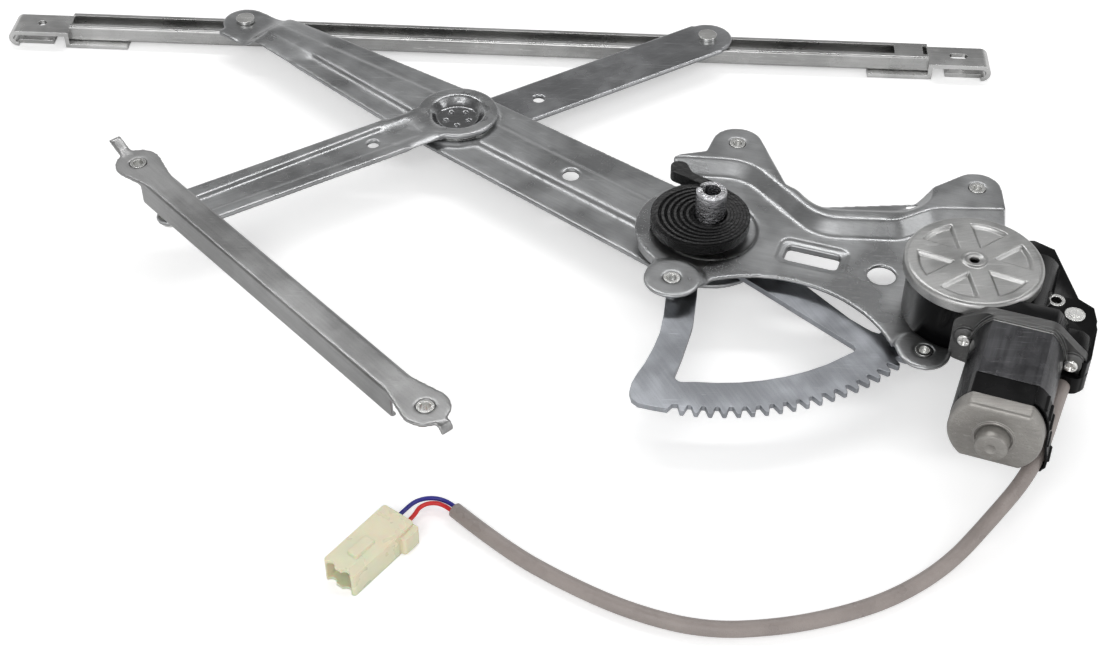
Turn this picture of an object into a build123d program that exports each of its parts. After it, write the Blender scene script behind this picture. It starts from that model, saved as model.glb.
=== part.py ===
from build123d import *
import math
import os

# Power window regulator of the crossed-arm kind, lying on its lift rail.
# +X runs along the lift rail towards the motor, +Y towards the rail, +Z up.
# Millimetres. Plan sizes below are measured from the main pivot.

# Where the main pivot stands, so that the origin is the middle of the base
pivot_x = 116.9
pivot_y = -21.8

# Arms
arm_half = 165.0            # pivot to cross joint, and cross joint to each slider
rest_angle = 35.7           # lift arm above the rail direction, as stored
arm_sheet = 2.5
lift_arm_pivot_r = 30.0
lift_arm_cross_r = 26.5
lift_arm_tip_r = 13.0
lift_panel_rise = 2.0
lift_panel_half = 10.5
aux_half_width = 15.0
aux_hub_r = 22.0
aux_panel_depth = 1.5
upper_panel_rise = 1.2
aux_hole_r = 3.1
aux_hole_reach = 51.0
lift_hole_r = 4.3
lift_hole_reach = 87.0

# Toothed sector and pinion
module_mm = 2.0
sector_full_teeth = 120
sector_teeth = 29
pinion_teeth = 10
first_valley = -97.0        # degrees, at rest
mesh_angle = -24.4          # degrees, from the pivot to the pinion
sector_sheet = 3.0
sector_hub_r = 26.0
sector_rim = 14.0           # depth of the toothed rim
tooth_root = 2.5
tooth_tip = 1.9
rivet_ring = 18.0
rivet_r = 3.0
rivet_lip = 1.6
rivet_head = 1.2

# Rail, brackets and sliders
rail_left = 103.0           # rail end beyond the lift slider
rail_length = 497.0
rail_width = 15.6
rail_height = 9.5
rail_sheet = 1.5
rail_lip = 3.5
stop_inset = 11.0           # end stop, from the rail's right end
stop_length = 16.0
bracket_sheet = 2.5
bracket_width = 18.4
bracket_plate = 35.5        # beyond the rail's end
bracket_strip = 34.0
bracket_shift = 2.3         # towards the front
tongue_width = 12.0
tongue_length = 20.0
bracket_top = 10.0
hole_inset = 17.5           # from the rail's end to the bracket's hole
left_hole_r = 2.6
slot_length = 10.5
slot_width = 5.0
slider_length = 24.0
slider_play = 0.2
slider_lift = 0.3           # slider above and below, to the sheet
slider_floor = 1.2
stud_r = 3.9
stud_play = 0.05
stud_head_r = 5.2
stud_head = 2.0
tip_gap = 1.0               # rail top to the arm tips
washer_play = 0.2
washer_r = 20.0

# Equalizer channel
channel_angle = -44.8       # degrees, at rest
channel_body = (-12.0, 190.0)   # the section's ends, from the slider
channel_holes = (-25.0, 205.0)
channel_width = 15.4
channel_height = 14.0
channel_sheet = 1.6
channel_lip = 3.4
channel_ear_r = 11.5
channel_gap = 3.7           # arm top to channel lips
channel_tab = 6.6

# Base plate
plate_sheet = 2.0
plate_gap = 4.5             # sector top to the plate
rear_rise = 6.5
ear_rise = 3.0
dish_depth = 1.5
dish_r = 24.5
ring_r = 36.5
front_ears = [(-17.7, -41.7, 13.5), (96.9, -84.6, 12.0)]
rear_ears = [(14.2, 61.8, 13.0), (132.7, 32.0, 12.2)]
rear_slope = 48.0           # degrees from upright
flange_drop = 3.0
collar_wall = 2.0
pinion_hole_r = 13.0
ear_hole_r = 4.1
nut_across = 10.0
nut_height = 5.0
thread_r = 2.5
plate_hole = (82.0, -30.1, 6.6)
nut_play = 0.1
window_size = (26.0, 11.0)
window_place = (49.7, -17.9)
window_turn = -16.0
window_frame = 4.0
frame_depth = 1.0
collar_depth = 2.0

# Pivot and spring
shaft_r = 7.5
shaft_bore_r = 4.5
shaft_top = 30.0            # above the sector
shaft_slot = 3.0
slot_angle = 150.0
shaft_flange = 2.0
shaft_flange_lip = 3.5
shaft_play = 0.05
bush_wall = 3.0
bush_flange = 3.0
spring_width = 6.5
spring_strip = 1.1
spring_turns = 6.0
spring_outer_r = 23.0
spring_shift = 4.0          # the outer turns lie off centre
spring_gap = 0.5            # to the shaft
spring_leave = 50.0         # degrees, where the strip leaves the coil
spring_level = 9.0          # above the sector
spring_seat = 0.5
bush_lift = 0.3             # above the sector

# Motor
motor_turn = -107.0         # degrees, towards the end cap
worm_offset = 28.4          # worm axis from the output axis
motor_level = 21.5          # worm axis above the sector
case_r = 29.0
case_wall = 2.5
cover_r = 31.7
cover_level = 38.0          # above the sector
cover_skirt = 6.0
cover_clear = 0.4
cover_sheet = 1.5
can_width = 40.5
can_thick = 31.0
can_wall = 1.6
flange_at = 33.5            # along the motor from the worm's middle
can_end = 92.0
cap_depth = 8.0
boss_r = 8.2
boss_length = 10.0
band_length = 13.0
band_width = 27.0
lobe_offset = 23.5
lobe_r = 6.5
lobe_depth = 4.3
wheel_teeth = 60
wheel_r = 24.2
worm_r = 4.0
output_shaft_r = 5.0
motor_shaft_r = 2.5
bearing_play = 0.05
wheel_half = 4.5
pinion_overlap = 0.8        # beyond the sector's faces
mesh_valley = -25.0         # degrees, the sector's valley at the pinion
block_top = 49.3
tunnel_back = 24.0
tunnel_r = 9.2
neck_from = 19.5            # along the motor
bracket_plate_sheet = 2.0
bracket_rim = 1.2
bush_length = 5.0
bracket_lip = 1.8
front_bearing_r = 6.0
rear_bearing_r = 5.5
screw_r = 2.0
screw_reach = 2.4
screw_head_r = 3.1
screw_head = 2.4
bolt_r = 2.5
bolt_head_r = 4.6
bolt_head = 3.0
bolt_reach = 7.0
motor_bolt_places = [(163.2, -72.8), (154.0, -28.5), (101.9, -44.2)]
inner_boss = (-16.5, 9.5)   # from the output shaft
bush_sleeve_r = 4.6
insert_place = (156.1, -63.8)
insert_r = 4.0
insert_length = 10.0
commutator_r = 6.5
commutator_at = 72.0
commutator_length = 9.0
brush_span = 30.0
brush_width = 6.0
magnet_at = 38.0
magnet_length = 30.0
magnet_wall = 4.0
magnet_half = 11.5
core_at = 40.0
core_length = 26.0
core_r = 13.2
worm_length = 24.0
strap_at = 72.0
strap_length = 12.0
strap_sheet = 1.3
cover_turn = 8.0
panel_depth = 1.1
cover_ring_r = 5.5
cover_hole_r = 2.4

# Cord
sleeve_d = 7.0
wire_d = 2.0
sleeve_start = 25.0         # along the motor
sleeve_across = 23.0
sleeve_down = -11.3         # from the motor's axis
grommet_r = 4.8
grommet_length = 6.0
connector_place = (-131.3, -177.8)
connector_turn = -123.7
connector_length = 39.0
connector_width = 17.0
connector_height = 12.0
connector_wall = 1.6
connector_mouth = 15.0
terminal_length = 7.0
wire_lead = 6.5
wire_z = 6.0

# Heights, from the table up
rail_floor = bracket_sheet
rail_top = rail_floor + rail_height
tip_bottom = rail_top + tip_gap
tip_top = tip_bottom + arm_sheet
slider_bottom = rail_floor + rail_sheet + slider_lift
lift_top = tip_top + 4.5
raised_top = lift_top + lift_panel_rise
sector_bottom = raised_top
sector_top = sector_bottom + sector_sheet
aux_bottom = raised_top + 1.8
aux_top = aux_bottom + arm_sheet
cross_top = raised_top - arm_sheet - 0.3
channel_bottom = aux_top + channel_gap
channel_top = channel_bottom + channel_height
channel_slider_top = channel_bottom + 10.0
plate_bottom = sector_top + plate_gap
plate_top = plate_bottom + plate_sheet
rear_top = plate_top + rear_rise
ear_top = plate_top + ear_rise
spring_bottom = sector_top + spring_level
motor_axis = sector_top + motor_level
cover_top = sector_top + cover_level
shaft_end = sector_top + shaft_top
die_depth = 12.0            # of the solids that the pressings are lifted from


# Working places and directions
def turned(length, degrees):
    return (length * math.cos(math.radians(degrees)), length * math.sin(math.radians(degrees)))


pitch_r = module_mm * sector_full_teeth / 2
pinion_pitch_r = module_mm * pinion_teeth / 2
root_r = pitch_r - tooth_root
cross_x, cross_y = turned(arm_half, 180 - rest_angle)
lift_x = 2 * cross_x
rail_y = 2 * cross_y
output_x, output_y = turned(pitch_r + pinion_pitch_r, mesh_angle)
worm_shift = turned(worm_offset, motor_turn + 90)
worm_x = output_x + worm_shift[0]
worm_y = output_y + worm_shift[1]


def level(z):
    return Plane((pivot_x, pivot_y, z))


def lift_plane(z):
    return Plane((pivot_x, pivot_y, z), x_dir=(-math.cos(math.radians(rest_angle)),
                                               math.sin(math.radians(rest_angle)), 0))


def aux_plane(z):
    return Plane((pivot_x + cross_x, pivot_y + cross_y, z),
                 x_dir=(math.cos(math.radians(rest_angle)), math.sin(math.radians(rest_angle)), 0))


def channel_plane(z):
    return Plane((pivot_x + lift_x, pivot_y, z), x_dir=(*turned(1, channel_angle), 0))


def output_plane(z):
    return Plane((pivot_x + output_x, pivot_y + output_y, z))


# Looks along the motor from the worm's middle: local X across, local Y up
def motor_plane(along):
    step = turned(along, motor_turn)
    across = turned(1, motor_turn + 90)
    return Plane((pivot_x + worm_x + step[0], pivot_y + worm_y + step[1], motor_axis),
                 x_dir=(*across, 0), z_dir=(*turned(1, motor_turn), 0))


# Lies flat at a height with local X along the motor
def motor_flat(z):
    return Plane((pivot_x + worm_x, pivot_y + worm_y, z), x_dir=(*turned(1, motor_turn), 0))


motor_along = Axis((0, 0, 0), (*turned(1, motor_turn), 0))


# What a solid die leaves of a sheet: the die less itself, one sheet lower
def pressed(form, sheet):
    with BuildPart() as shell:
        add(form)
        add(form.moved(Location((0, 0, -sheet))), mode=Mode.SUBTRACT)
    return shell.part


os.makedirs("parts", exist_ok=True)
made = []


def keep(piece, name):
    piece.label = name
    made.append(name)
    export_step(piece, "parts/" + name + ".step")


# Lift arm: one pressing from the main pivot past the cross joint to its slider
joggle = 23.0
cross_hole_r = 13.05

with BuildPart() as lift_form:
    with BuildSketch(lift_plane(lift_top - die_depth)):
        with Locations((0, 0)):
            Circle(lift_arm_pivot_r)
        with Locations((arm_half, 0)):
            Circle(lift_arm_cross_r)
        with Locations((2 * arm_half, 0)):
            Circle(lift_arm_tip_r)
        make_hull()
        with Locations((2 * arm_half - 8, lift_arm_tip_r - 1)):
            RectangleRounded(26, 12, 3)
    extrude(amount=die_depth)
    with BuildSketch(lift_plane(lift_top)):
        with Locations((0, 0)):
            Circle(lift_arm_pivot_r - 3)
        with Locations((arm_half, 0)):
            Circle(lift_arm_cross_r - 2.5)
        with Locations((arm_half / 2, 0)):
            Rectangle(arm_half, 2 * lift_panel_half)
        with BuildLine():
            Polyline((arm_half, 13), (arm_half, -13), (2 * arm_half - 18, -5), (2 * arm_half - 18, 5),
                     close=True)
        make_face()
    extrude(amount=lift_panel_rise, taper=45)
    # the tip steps down to the rail
    with BuildSketch(Plane(lift_plane(0).origin, x_dir=lift_plane(0).x_dir,
                           z_dir=lift_plane(0).y_dir)):
        with BuildLine():
            Polyline((2 * arm_half - joggle, -lift_top), (2 * arm_half - joggle + 6, -tip_top),
                     (2 * arm_half + 20, -tip_top), (2 * arm_half + 20, -lift_top - 5),
                     (2 * arm_half - joggle, -lift_top - 5), close=True)
        make_face()
    extrude(amount=40, both=True, mode=Mode.SUBTRACT)

with BuildPart() as lift_arm:
    add(pressed(lift_form.part, arm_sheet))
    with BuildSketch(lift_plane(0)):
        with Locations((arm_half, 0)):
            Circle(cross_hole_r)
        with Locations((lift_hole_reach, 0)):
            Circle(lift_hole_r)
        with Locations((2 * arm_half, 0)):
            Circle(stud_r)
        Circle(shaft_r)
    extrude(amount=raised_top + 5, mode=Mode.SUBTRACT)
    with BuildSketch(level(0)):
        with PolarLocations(rivet_ring, 3, start_angle=30):
            Circle(rivet_r)
    extrude(amount=raised_top + 5, mode=Mode.SUBTRACT)
keep(lift_arm.part, "lift_arm")

# Sector gear: hub, open legs and a toothed rim, one stamping on the arm's raised face
pitch_angle = 360 / sector_full_teeth
rim_inner_r = root_r - sector_rim
rim_from = first_valley - 9.2
rim_to = first_valley + sector_teeth * pitch_angle
sector_legs = [(-104.0, 16.0, root_r - 5), (-43.3, 13.5, rim_inner_r + 4),
               (rim_to - 10.0, 14.0, rim_inner_r + 4)]
window_corner_r = 3.8


# A tooth from its root to its tip, given as (distance from the pitch circle, half width)
def tooth(pitch_radius, flank):
    with BuildSketch() as one:
        with BuildLine():
            right = [(math.sqrt((pitch_radius + out) ** 2 - half ** 2), half) for out, half in flank]
            left = [(x, -y) for x, y in reversed(right)]
            Polyline(*right, *left, close=True)
        make_face()
    return one.sketch


def polygon(points):
    with BuildSketch() as flat:
        with BuildLine():
            Polyline(*points, close=True)
        make_face()
    return flat.sketch


# The same with its corners rounded, given as (x, y, radius)
def rounded_polygon(corners):
    with BuildSketch() as flat:
        add(polygon([(x, y) for x, y, radius in corners]))
        for x, y, radius in corners:
            if radius:
                fillet(flat.vertices().sort_by_distance((x, y, 0))[0], radius)
    return flat.sketch


def hull(circles):
    with BuildSketch() as wrapped:
        for x, y, radius in circles:
            with Locations((x, y)):
                Circle(radius)
        make_hull()
    return wrapped.sketch


# A bent strip seen along its edge: straight runs with round ends
def strip(points, thickness):
    with BuildSketch() as bent:
        for (x0, y0), (x1, y1) in zip(points, points[1:]):
            add(hull([(x0, y0, thickness / 2), (x1, y1, thickness / 2)]))
    return bent.sketch


def leg(angle, width, reach):
    side = turned(width / 2, angle + 90)
    tip = turned(reach, angle)
    return polygon([(-side[0], -side[1]), (tip[0] - side[0], tip[1] - side[1]),
                    (tip[0] + side[0], tip[1] + side[1]), side])


sector_flank = [(-tooth_root - 1, 2.3), (-tooth_root, 2.05), (-1.0, 1.62), (0.3, 1.2), (1.3, 0.85),
                (tooth_tip, 0.55)]
pinion_flank = [(-2.8, 1.1), (-1.4, 1.3), (-0.6, 1.5), (0.2, 1.42), (1.0, 1.05), (1.8, 0.5)]
sector_tooth = tooth(pitch_r, sector_flank)
pinion_tooth = tooth(pinion_pitch_r, pinion_flank)
sector_leg_faces = [leg(*each) for each in sector_legs]
end_land = polygon([turned(root_r - 3, rim_from + 1.0), turned(root_r + 3.2, rim_from + 2.4),
                    turned(root_r + 3.8, rim_from + 4.2), turned(root_r + 3.6, first_valley - 1.1),
                    turned(root_r - 3, first_valley - 1.1)])

with BuildPart() as sector_gear:
    with BuildSketch(level(sector_bottom)):
        with BuildLine():
            outer = CenterArc((0, 0), root_r, rim_from, rim_to - rim_from)
            inner = CenterArc((0, 0), rim_inner_r, rim_from, rim_to - rim_from)
            Line(outer @ 0, inner @ 0)
            Line(outer @ 1, inner @ 1)
        make_face()
        Circle(sector_hub_r)
        for face in sector_leg_faces:
            add(face)
    extrude(amount=sector_sheet)
    window_corners = [e for e in sector_gear.edges().filter_by(Axis.Z)
                      if abs(math.hypot(e.center().X - pivot_x, e.center().Y - pivot_y)
                             - rim_inner_r) < 0.05]
    fillet(window_corners, window_corner_r)
    with BuildSketch(level(sector_bottom)):
        add(end_land)
        with PolarLocations(0, sector_teeth, start_angle=first_valley + pitch_angle / 2,
                            angular_range=sector_teeth * pitch_angle, endpoint=False):
            add(sector_tooth)
    extrude(amount=sector_sheet)
    with BuildSketch(level(sector_bottom)):
        Circle(shaft_r)
        with PolarLocations(rivet_ring, 3, start_angle=30):
            Circle(rivet_r)
    extrude(amount=sector_sheet, mode=Mode.SUBTRACT)
keep(sector_gear.part, "sector_gear")

with BuildPart() as sector_rivets:
    with BuildSketch(level(raised_top - arm_sheet)):
        with PolarLocations(rivet_ring, 3, start_angle=30):
            Circle(rivet_r)
    extrude(amount=arm_sheet + sector_sheet)
    with BuildSketch(level(sector_top)):
        with PolarLocations(rivet_ring, 3, start_angle=30):
            Circle(rivet_r + rivet_lip)
    extrude(amount=rivet_head)
keep(sector_rivets.part, "sector_rivets")

# Pivot shaft: a tube through the arm, flanged below and slotted above for the spring
with BuildPart() as pivot_shaft:
    with BuildSketch(level(raised_top - arm_sheet - shaft_flange)):
        Circle(shaft_r + shaft_flange_lip)
    extrude(amount=shaft_flange)
    with BuildSketch(level(raised_top - arm_sheet)):
        Circle(shaft_r)
    extrude(amount=shaft_end - raised_top + arm_sheet)
    chamfer(pivot_shaft.faces().sort_by(Axis.Z)[-1].edges(), 0.8)
    with BuildSketch(level(0)):
        Circle(shaft_bore_r)
    extrude(amount=shaft_end + 1, mode=Mode.SUBTRACT)
    with BuildSketch(Plane(level(spring_bottom).origin, x_dir=(*turned(1, slot_angle), 0))):
        with Locations((shaft_r, 0)):
            Rectangle(2 * shaft_r, shaft_slot)
    extrude(amount=shaft_end, mode=Mode.SUBTRACT)
keep(pivot_shaft.part, "pivot_shaft")


# Studs: each has its shank in a slider and its swaged head beyond the arm
lift_tip = Plane((pivot_x + lift_x, pivot_y + rail_y, slider_bottom + slider_floor))
aux_tip = Plane((pivot_x, pivot_y + rail_y, slider_bottom + slider_floor))
channel_tip = Plane((pivot_x + lift_x, pivot_y, aux_top - arm_sheet - stud_head))


def stud(base, shank_length, head_at):
    with BuildPart() as pin:
        with BuildSketch(base):
            Circle(stud_r)
        extrude(amount=shank_length)
        with BuildSketch(base.offset(head_at)):
            Circle(stud_head_r)
        extrude(amount=stud_head)
    return pin.part


rail_shank = tip_top + stud_head - slider_bottom - slider_floor
lift_stud = stud(lift_tip, rail_shank, rail_shank - stud_head)
keep(lift_stud, "lift_stud")
aux_stud = stud(aux_tip, rail_shank, rail_shank - stud_head)
keep(aux_stud, "aux_stud")
channel_stud = stud(channel_tip, channel_slider_top - slider_floor - channel_tip.origin.Z, 0)
keep(channel_stud, "channel_stud")


# Plastic slider: a rounded block with a blind socket for its stud
def slider(base, width, height, socket_from, socket_depth):
    with BuildPart() as shoe:
        with BuildSketch(base):
            RectangleRounded(slider_length, width, 3)
        extrude(amount=height)
        with BuildSketch(base.offset(socket_from)):
            Circle(stud_r + stud_play)
        extrude(amount=socket_depth, mode=Mode.SUBTRACT)
    return shoe.part


rail_slot = rail_width - 2 * rail_sheet - 2 * slider_play
channel_slot = channel_width - 2 * channel_sheet - 2 * slider_play
rail_slider_high = rail_height - 2 * rail_sheet - 2 * slider_lift
lift_slider_base = Plane((pivot_x + lift_x, pivot_y + rail_y, slider_bottom))
aux_slider_base = Plane((pivot_x, pivot_y + rail_y, slider_bottom))
lift_slider = slider(lift_slider_base, rail_slot, rail_slider_high, slider_floor - stud_play,
                     rail_slider_high)
keep(lift_slider, "lift_slider")
aux_slider = slider(aux_slider_base, rail_slot, rail_slider_high, slider_floor - stud_play,
                    rail_slider_high)
keep(aux_slider, "aux_slider")
channel_slider_bottom = channel_bottom + channel_sheet + slider_lift
channel_slider_high = channel_slider_top - channel_slider_bottom
channel_slider = slider(channel_plane(channel_slider_bottom), channel_slot, channel_slider_high,
                        0, channel_slider_high - slider_floor + stud_play)
keep(channel_slider, "channel_slider")

# Lower half of the auxiliary arm: over the lift arm, dished at the cross joint
aux_back = -arm_half
bowl_depth = 4.6
bowl_rim_r = 15.2
bowl_floor_r = 10.8
boss_r = cross_hole_r - stud_play
dimple_r = 1.7
dimple_ring = 6.5
with BuildPart() as aux_lower_form:
    with BuildSketch(aux_plane(aux_top - die_depth)):
        Circle(aux_hub_r)
        with Locations((aux_back / 2, 0)):
            Rectangle(arm_half, 2 * aux_half_width)
        with Locations((aux_back, 0)):
            Circle(aux_half_width)
    extrude(amount=die_depth)
    with BuildSketch(aux_plane(aux_top - aux_panel_depth)):
        with BuildLine():
            Polyline((-26, -6.5), (-26, 8.5), (-148, 4.5), (-148, -6.5), close=True)
        make_face()
    extrude(amount=aux_panel_depth + 0.5, taper=-45, mode=Mode.SUBTRACT)

with BuildPart() as aux_arm_lower:
    add(pressed(aux_lower_form.part, arm_sheet))
    with BuildSketch(aux_plane(aux_top - bowl_depth - arm_sheet)):
        Circle(boss_r)
    extrude(amount=bowl_depth)
    with BuildSketch(aux_plane(aux_top - bowl_depth)):
        Circle(bowl_floor_r)
    with BuildSketch(aux_plane(aux_top + 0.01)):
        Circle(bowl_rim_r)
    loft(mode=Mode.SUBTRACT)
    with BuildSketch(aux_plane(aux_top - bowl_depth - 1)):
        with PolarLocations(dimple_ring, 5, start_angle=20):
            Circle(dimple_r)
    extrude(amount=2, mode=Mode.SUBTRACT)
    with BuildSketch(aux_plane(0)):
        with Locations((-aux_hole_reach, 0)):
            Circle(aux_hole_r)
        with Locations((aux_back, 0)):
            Circle(stud_r)
    extrude(amount=aux_top + 5, mode=Mode.SUBTRACT)
keep(aux_arm_lower.part, "aux_arm_lower")

# Upper half: under the lift arm, stepping down from the cross joint to the rail
hub_top_r = 17.0
hub_foot_r = 23.0
with BuildPart() as aux_upper_form:
    with BuildSketch(aux_plane(tip_top)):
        Circle(hub_foot_r)
    with BuildSketch(aux_plane(cross_top)):
        Circle(hub_top_r)
    loft()
    with BuildSketch(aux_plane(tip_top)):
        with BuildLine():
            Polyline((14, -9), (14, 9), (arm_half - 20, 8), (arm_half - 20, -8), close=True)
        make_face()
    extrude(amount=upper_panel_rise, taper=45)
    with BuildSketch(aux_plane(tip_top - die_depth)):
        Circle(hub_foot_r)
        with Locations((arm_half / 2, 0)):
            Rectangle(arm_half, 2 * aux_half_width + 0.5)
        with Locations((arm_half, 0)):
            Circle(aux_half_width - 1)
    extrude(amount=die_depth)
    with BuildSketch(aux_plane(tip_top - die_depth)):
        Circle(aux_hub_r - 2)
        with Locations((arm_half / 2, 0)):
            Rectangle(arm_half, 2 * aux_half_width + 0.5)
        with Locations((arm_half, 0)):
            Circle(aux_half_width - 1)
    extrude(amount=die_depth + 10, mode=Mode.INTERSECT)

with BuildPart() as aux_arm_upper:
    add(pressed(aux_upper_form.part, arm_sheet))
    with BuildSketch(aux_plane(0)):
        with Locations((aux_hole_reach, 0)):
            Circle(aux_hole_r)
        with Locations((arm_half, 0)):
            Circle(stud_r)
    extrude(amount=aux_top + 5, mode=Mode.SUBTRACT)
keep(aux_arm_upper.part, "aux_arm_upper")

with BuildPart() as cross_washer:
    with BuildSketch(aux_plane(raised_top + washer_play)):
        Circle(washer_r)
        Circle(bowl_rim_r + 0.4, mode=Mode.SUBTRACT)
    extrude(amount=aux_bottom - raised_top - washer_play)
keep(cross_washer.part, "cross_washer")


# Lift rail: a lipped section along X, open upwards
def rail_plane(x):
    return Plane((pivot_x + x, pivot_y + rail_y, rail_floor), x_dir=(0, 1, 0), z_dir=(1, 0, 0))


rail_from = lift_x - rail_left
rail_end = rail_from + rail_length
with BuildPart() as lift_rail:
    with BuildSketch(rail_plane(rail_from)):
        with Locations((0, rail_height / 2)):
            RectangleRounded(rail_width, rail_height, rail_sheet)
            Rectangle(rail_width - 2 * rail_sheet, rail_height - 2 * rail_sheet, mode=Mode.SUBTRACT)
        with Locations((0, rail_height)):
            Rectangle(rail_width - 2 * rail_lip, 3 * rail_sheet, mode=Mode.SUBTRACT)
    extrude(amount=rail_length)
    # end stop: a tongue pressed across the opening
    with BuildSketch(Plane((pivot_x + rail_end - stop_inset, pivot_y + rail_y, rail_top - rail_sheet))):
        Rectangle(stop_length, rail_width - 2 * rail_lip)
    extrude(amount=rail_sheet)
keep(lift_rail.part, "lift_rail")


# Rail bracket: strip under the rail, step, raised plate, end rolled back underneath
def bracket(end, outward):
    roll_r = bracket_top / 2
    roll_at = end + outward * (bracket_plate - roll_r)
    side = Plane((pivot_x, pivot_y + rail_y - bracket_shift, 0), x_dir=(1, 0, 0), z_dir=(0, -1, 0))
    with BuildPart() as hook:
        with BuildSketch(side):
            with Locations((roll_at, roll_r)):
                Circle(roll_r)
                Circle(roll_r - bracket_sheet, mode=Mode.SUBTRACT)
            with Locations((roll_at - outward * roll_r, roll_r)):
                Rectangle(2 * roll_r, 2 * roll_r, mode=Mode.SUBTRACT)
            with Locations((end - outward * bracket_strip / 2, bracket_sheet / 2)):
                Rectangle(bracket_strip, bracket_sheet)
            with Locations((end + outward * bracket_sheet / 2, bracket_top / 2)):
                Rectangle(bracket_sheet, bracket_top)
            with Locations(((end + roll_at) / 2, bracket_top - bracket_sheet / 2)):
                Rectangle(abs(roll_at - end), bracket_sheet)
        extrude(amount=bracket_width / 2, both=True)
        with BuildSketch(side):
            with Locations((roll_at - outward * tongue_length / 2, bracket_sheet / 2)):
                Rectangle(tongue_length, bracket_sheet)
        extrude(amount=tongue_width / 2, both=True)
    return hook.part


def bracket_hole_plane(end, outward):
    return Plane((pivot_x + end + outward * hole_inset, pivot_y + rail_y - bracket_shift + 0.7,
                  bracket_sheet + 1))


with BuildPart() as rail_bracket_left:
    add(bracket(rail_from, -1))
    with BuildSketch(bracket_hole_plane(rail_from, -1)):
        Circle(left_hole_r)
    extrude(amount=bracket_top, mode=Mode.SUBTRACT)
keep(rail_bracket_left.part, "rail_bracket_left")

with BuildPart() as rail_bracket_right:
    add(bracket(rail_end, 1))
    with BuildSketch(bracket_hole_plane(rail_end, 1)):
        SlotOverall(slot_length, slot_width)
    extrude(amount=bracket_top, mode=Mode.SUBTRACT)
keep(rail_bracket_right.part, "rail_bracket_right")

# Equalizer channel: a lipped section open downwards, its top running out into two ears
channel_dir = turned(1, channel_angle)
channel_across = turned(1, channel_angle + 90)
channel_section = Plane((pivot_x + lift_x + channel_dir[0] * channel_body[0],
                         pivot_y + channel_dir[1] * channel_body[0], channel_bottom),
                        x_dir=(*channel_across, 0), z_dir=(*channel_dir, 0))
channel_side = Plane((pivot_x + lift_x, pivot_y, 0), x_dir=(*channel_dir, 0),
                     z_dir=(-channel_across[0], -channel_across[1], 0))
ear_neck = 16.0
channel_ears = [hull([(at, 0, channel_ear_r), (at + neck, 0, channel_width / 2)])
                for at, neck in zip(channel_holes, (ear_neck, -ear_neck))]
channel_tabs = [strip([(channel_holes[0] - 8, channel_top - channel_sheet / 2),
                       (channel_holes[0] - 14, channel_top), (channel_holes[0] - 21, channel_top + 3)],
                      channel_sheet),
                strip([(channel_holes[1] + 8, channel_top - channel_sheet / 2),
                       (channel_holes[1] + 13, channel_top - 1), (channel_holes[1] + 15, channel_top - 4)],
                      channel_sheet)]
with BuildPart() as equalizer_channel:
    with BuildSketch(channel_section):
        with Locations((0, channel_height / 2)):
            RectangleRounded(channel_width, channel_height, channel_sheet)
            Rectangle(channel_width - 2 * channel_sheet, channel_height - 2 * channel_sheet,
                      mode=Mode.SUBTRACT)
        Rectangle(channel_width - 2 * channel_lip, 3 * channel_sheet, mode=Mode.SUBTRACT)
    extrude(amount=channel_body[1] - channel_body[0])
    with BuildSketch(channel_plane(channel_top - channel_sheet)):
        for ear in channel_ears:
            add(ear)
    extrude(amount=channel_sheet)
    with BuildSketch(channel_side):
        for tab in channel_tabs:
            add(tab)
    extrude(amount=channel_tab / 2, both=True)
    with BuildSketch(channel_plane(channel_top - channel_sheet - 5)):
        with Locations(*[(at, 0) for at in channel_holes]):
            Circle(ear_hole_r)
    extrude(amount=15, mode=Mode.SUBTRACT)
keep(equalizer_channel.part, "equalizer_channel")


# Weld nuts: a hexagon under the sheet and a threaded collar through its hole
def weld_nuts(places, sheet):
    with BuildPart() as nuts:
        for place in places:
            with BuildSketch(place.offset(-sheet - nut_height)):
                RegularPolygon(nut_across / 2, 6, major_radius=False)
                Circle(thread_r, mode=Mode.SUBTRACT)
            extrude(amount=nut_height)
            with BuildSketch(place.offset(-sheet)):
                Circle(ear_hole_r - nut_play)
                Circle(thread_r, mode=Mode.SUBTRACT)
            extrude(amount=sheet)
    return nuts.part


def spot(x, y, z):
    return Plane((pivot_x + x, pivot_y + y, z))


channel_nuts = weld_nuts([Plane(channel_plane(channel_top).from_local_coords((at, 0, 0)))
                          for at in channel_holes], channel_sheet)
keep(channel_nuts, "channel_weld_nuts")

# Base plate: field with a ring round the pivot, raised rear band with two ears, two front ears
ear_hulls = [hull([(-17.7, -41.7, 13.5), (-6.0, -18.0, 18.0)]),
             hull([(96.9, -84.6, 12.0), (104.0, -56.0, 14.0)]),
             hull([(14.2, 61.8, 13.0), (-1.0, 50.0, 2.0), (31.0, 24.0, 8.5)]),
             hull([(132.7, 32.0, 12.2), (104.0, 21.0, 5.0), (140.0, 8.0, 5.0)])]
spring_hook = polygon([(-18.6, 48.3), (-15.0, 51.0), (-2.4, 54.4), (12.0, 54.0), (12.0, 30.0),
                       (-14.0, 33.0), (-16.5, 41.8)])
raised_foot = rounded_polygon([(-32.0, 42.2, 0), (17.0, 40.4, 20.0), (51.4, -3.6, 25.0),
                               (93.0, -3.3, 15.0), (112.0, 7.5, 12.0), (165.0, 9.5, 0),
                               (165.0, 70.0, 0), (104.0, 70.0, 0), (104.0, 18.0, 14.0),
                               (50.0, 17.5, 13.0), (50.0, 90.0, 0), (-32.0, 90.0, 0)])
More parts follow.
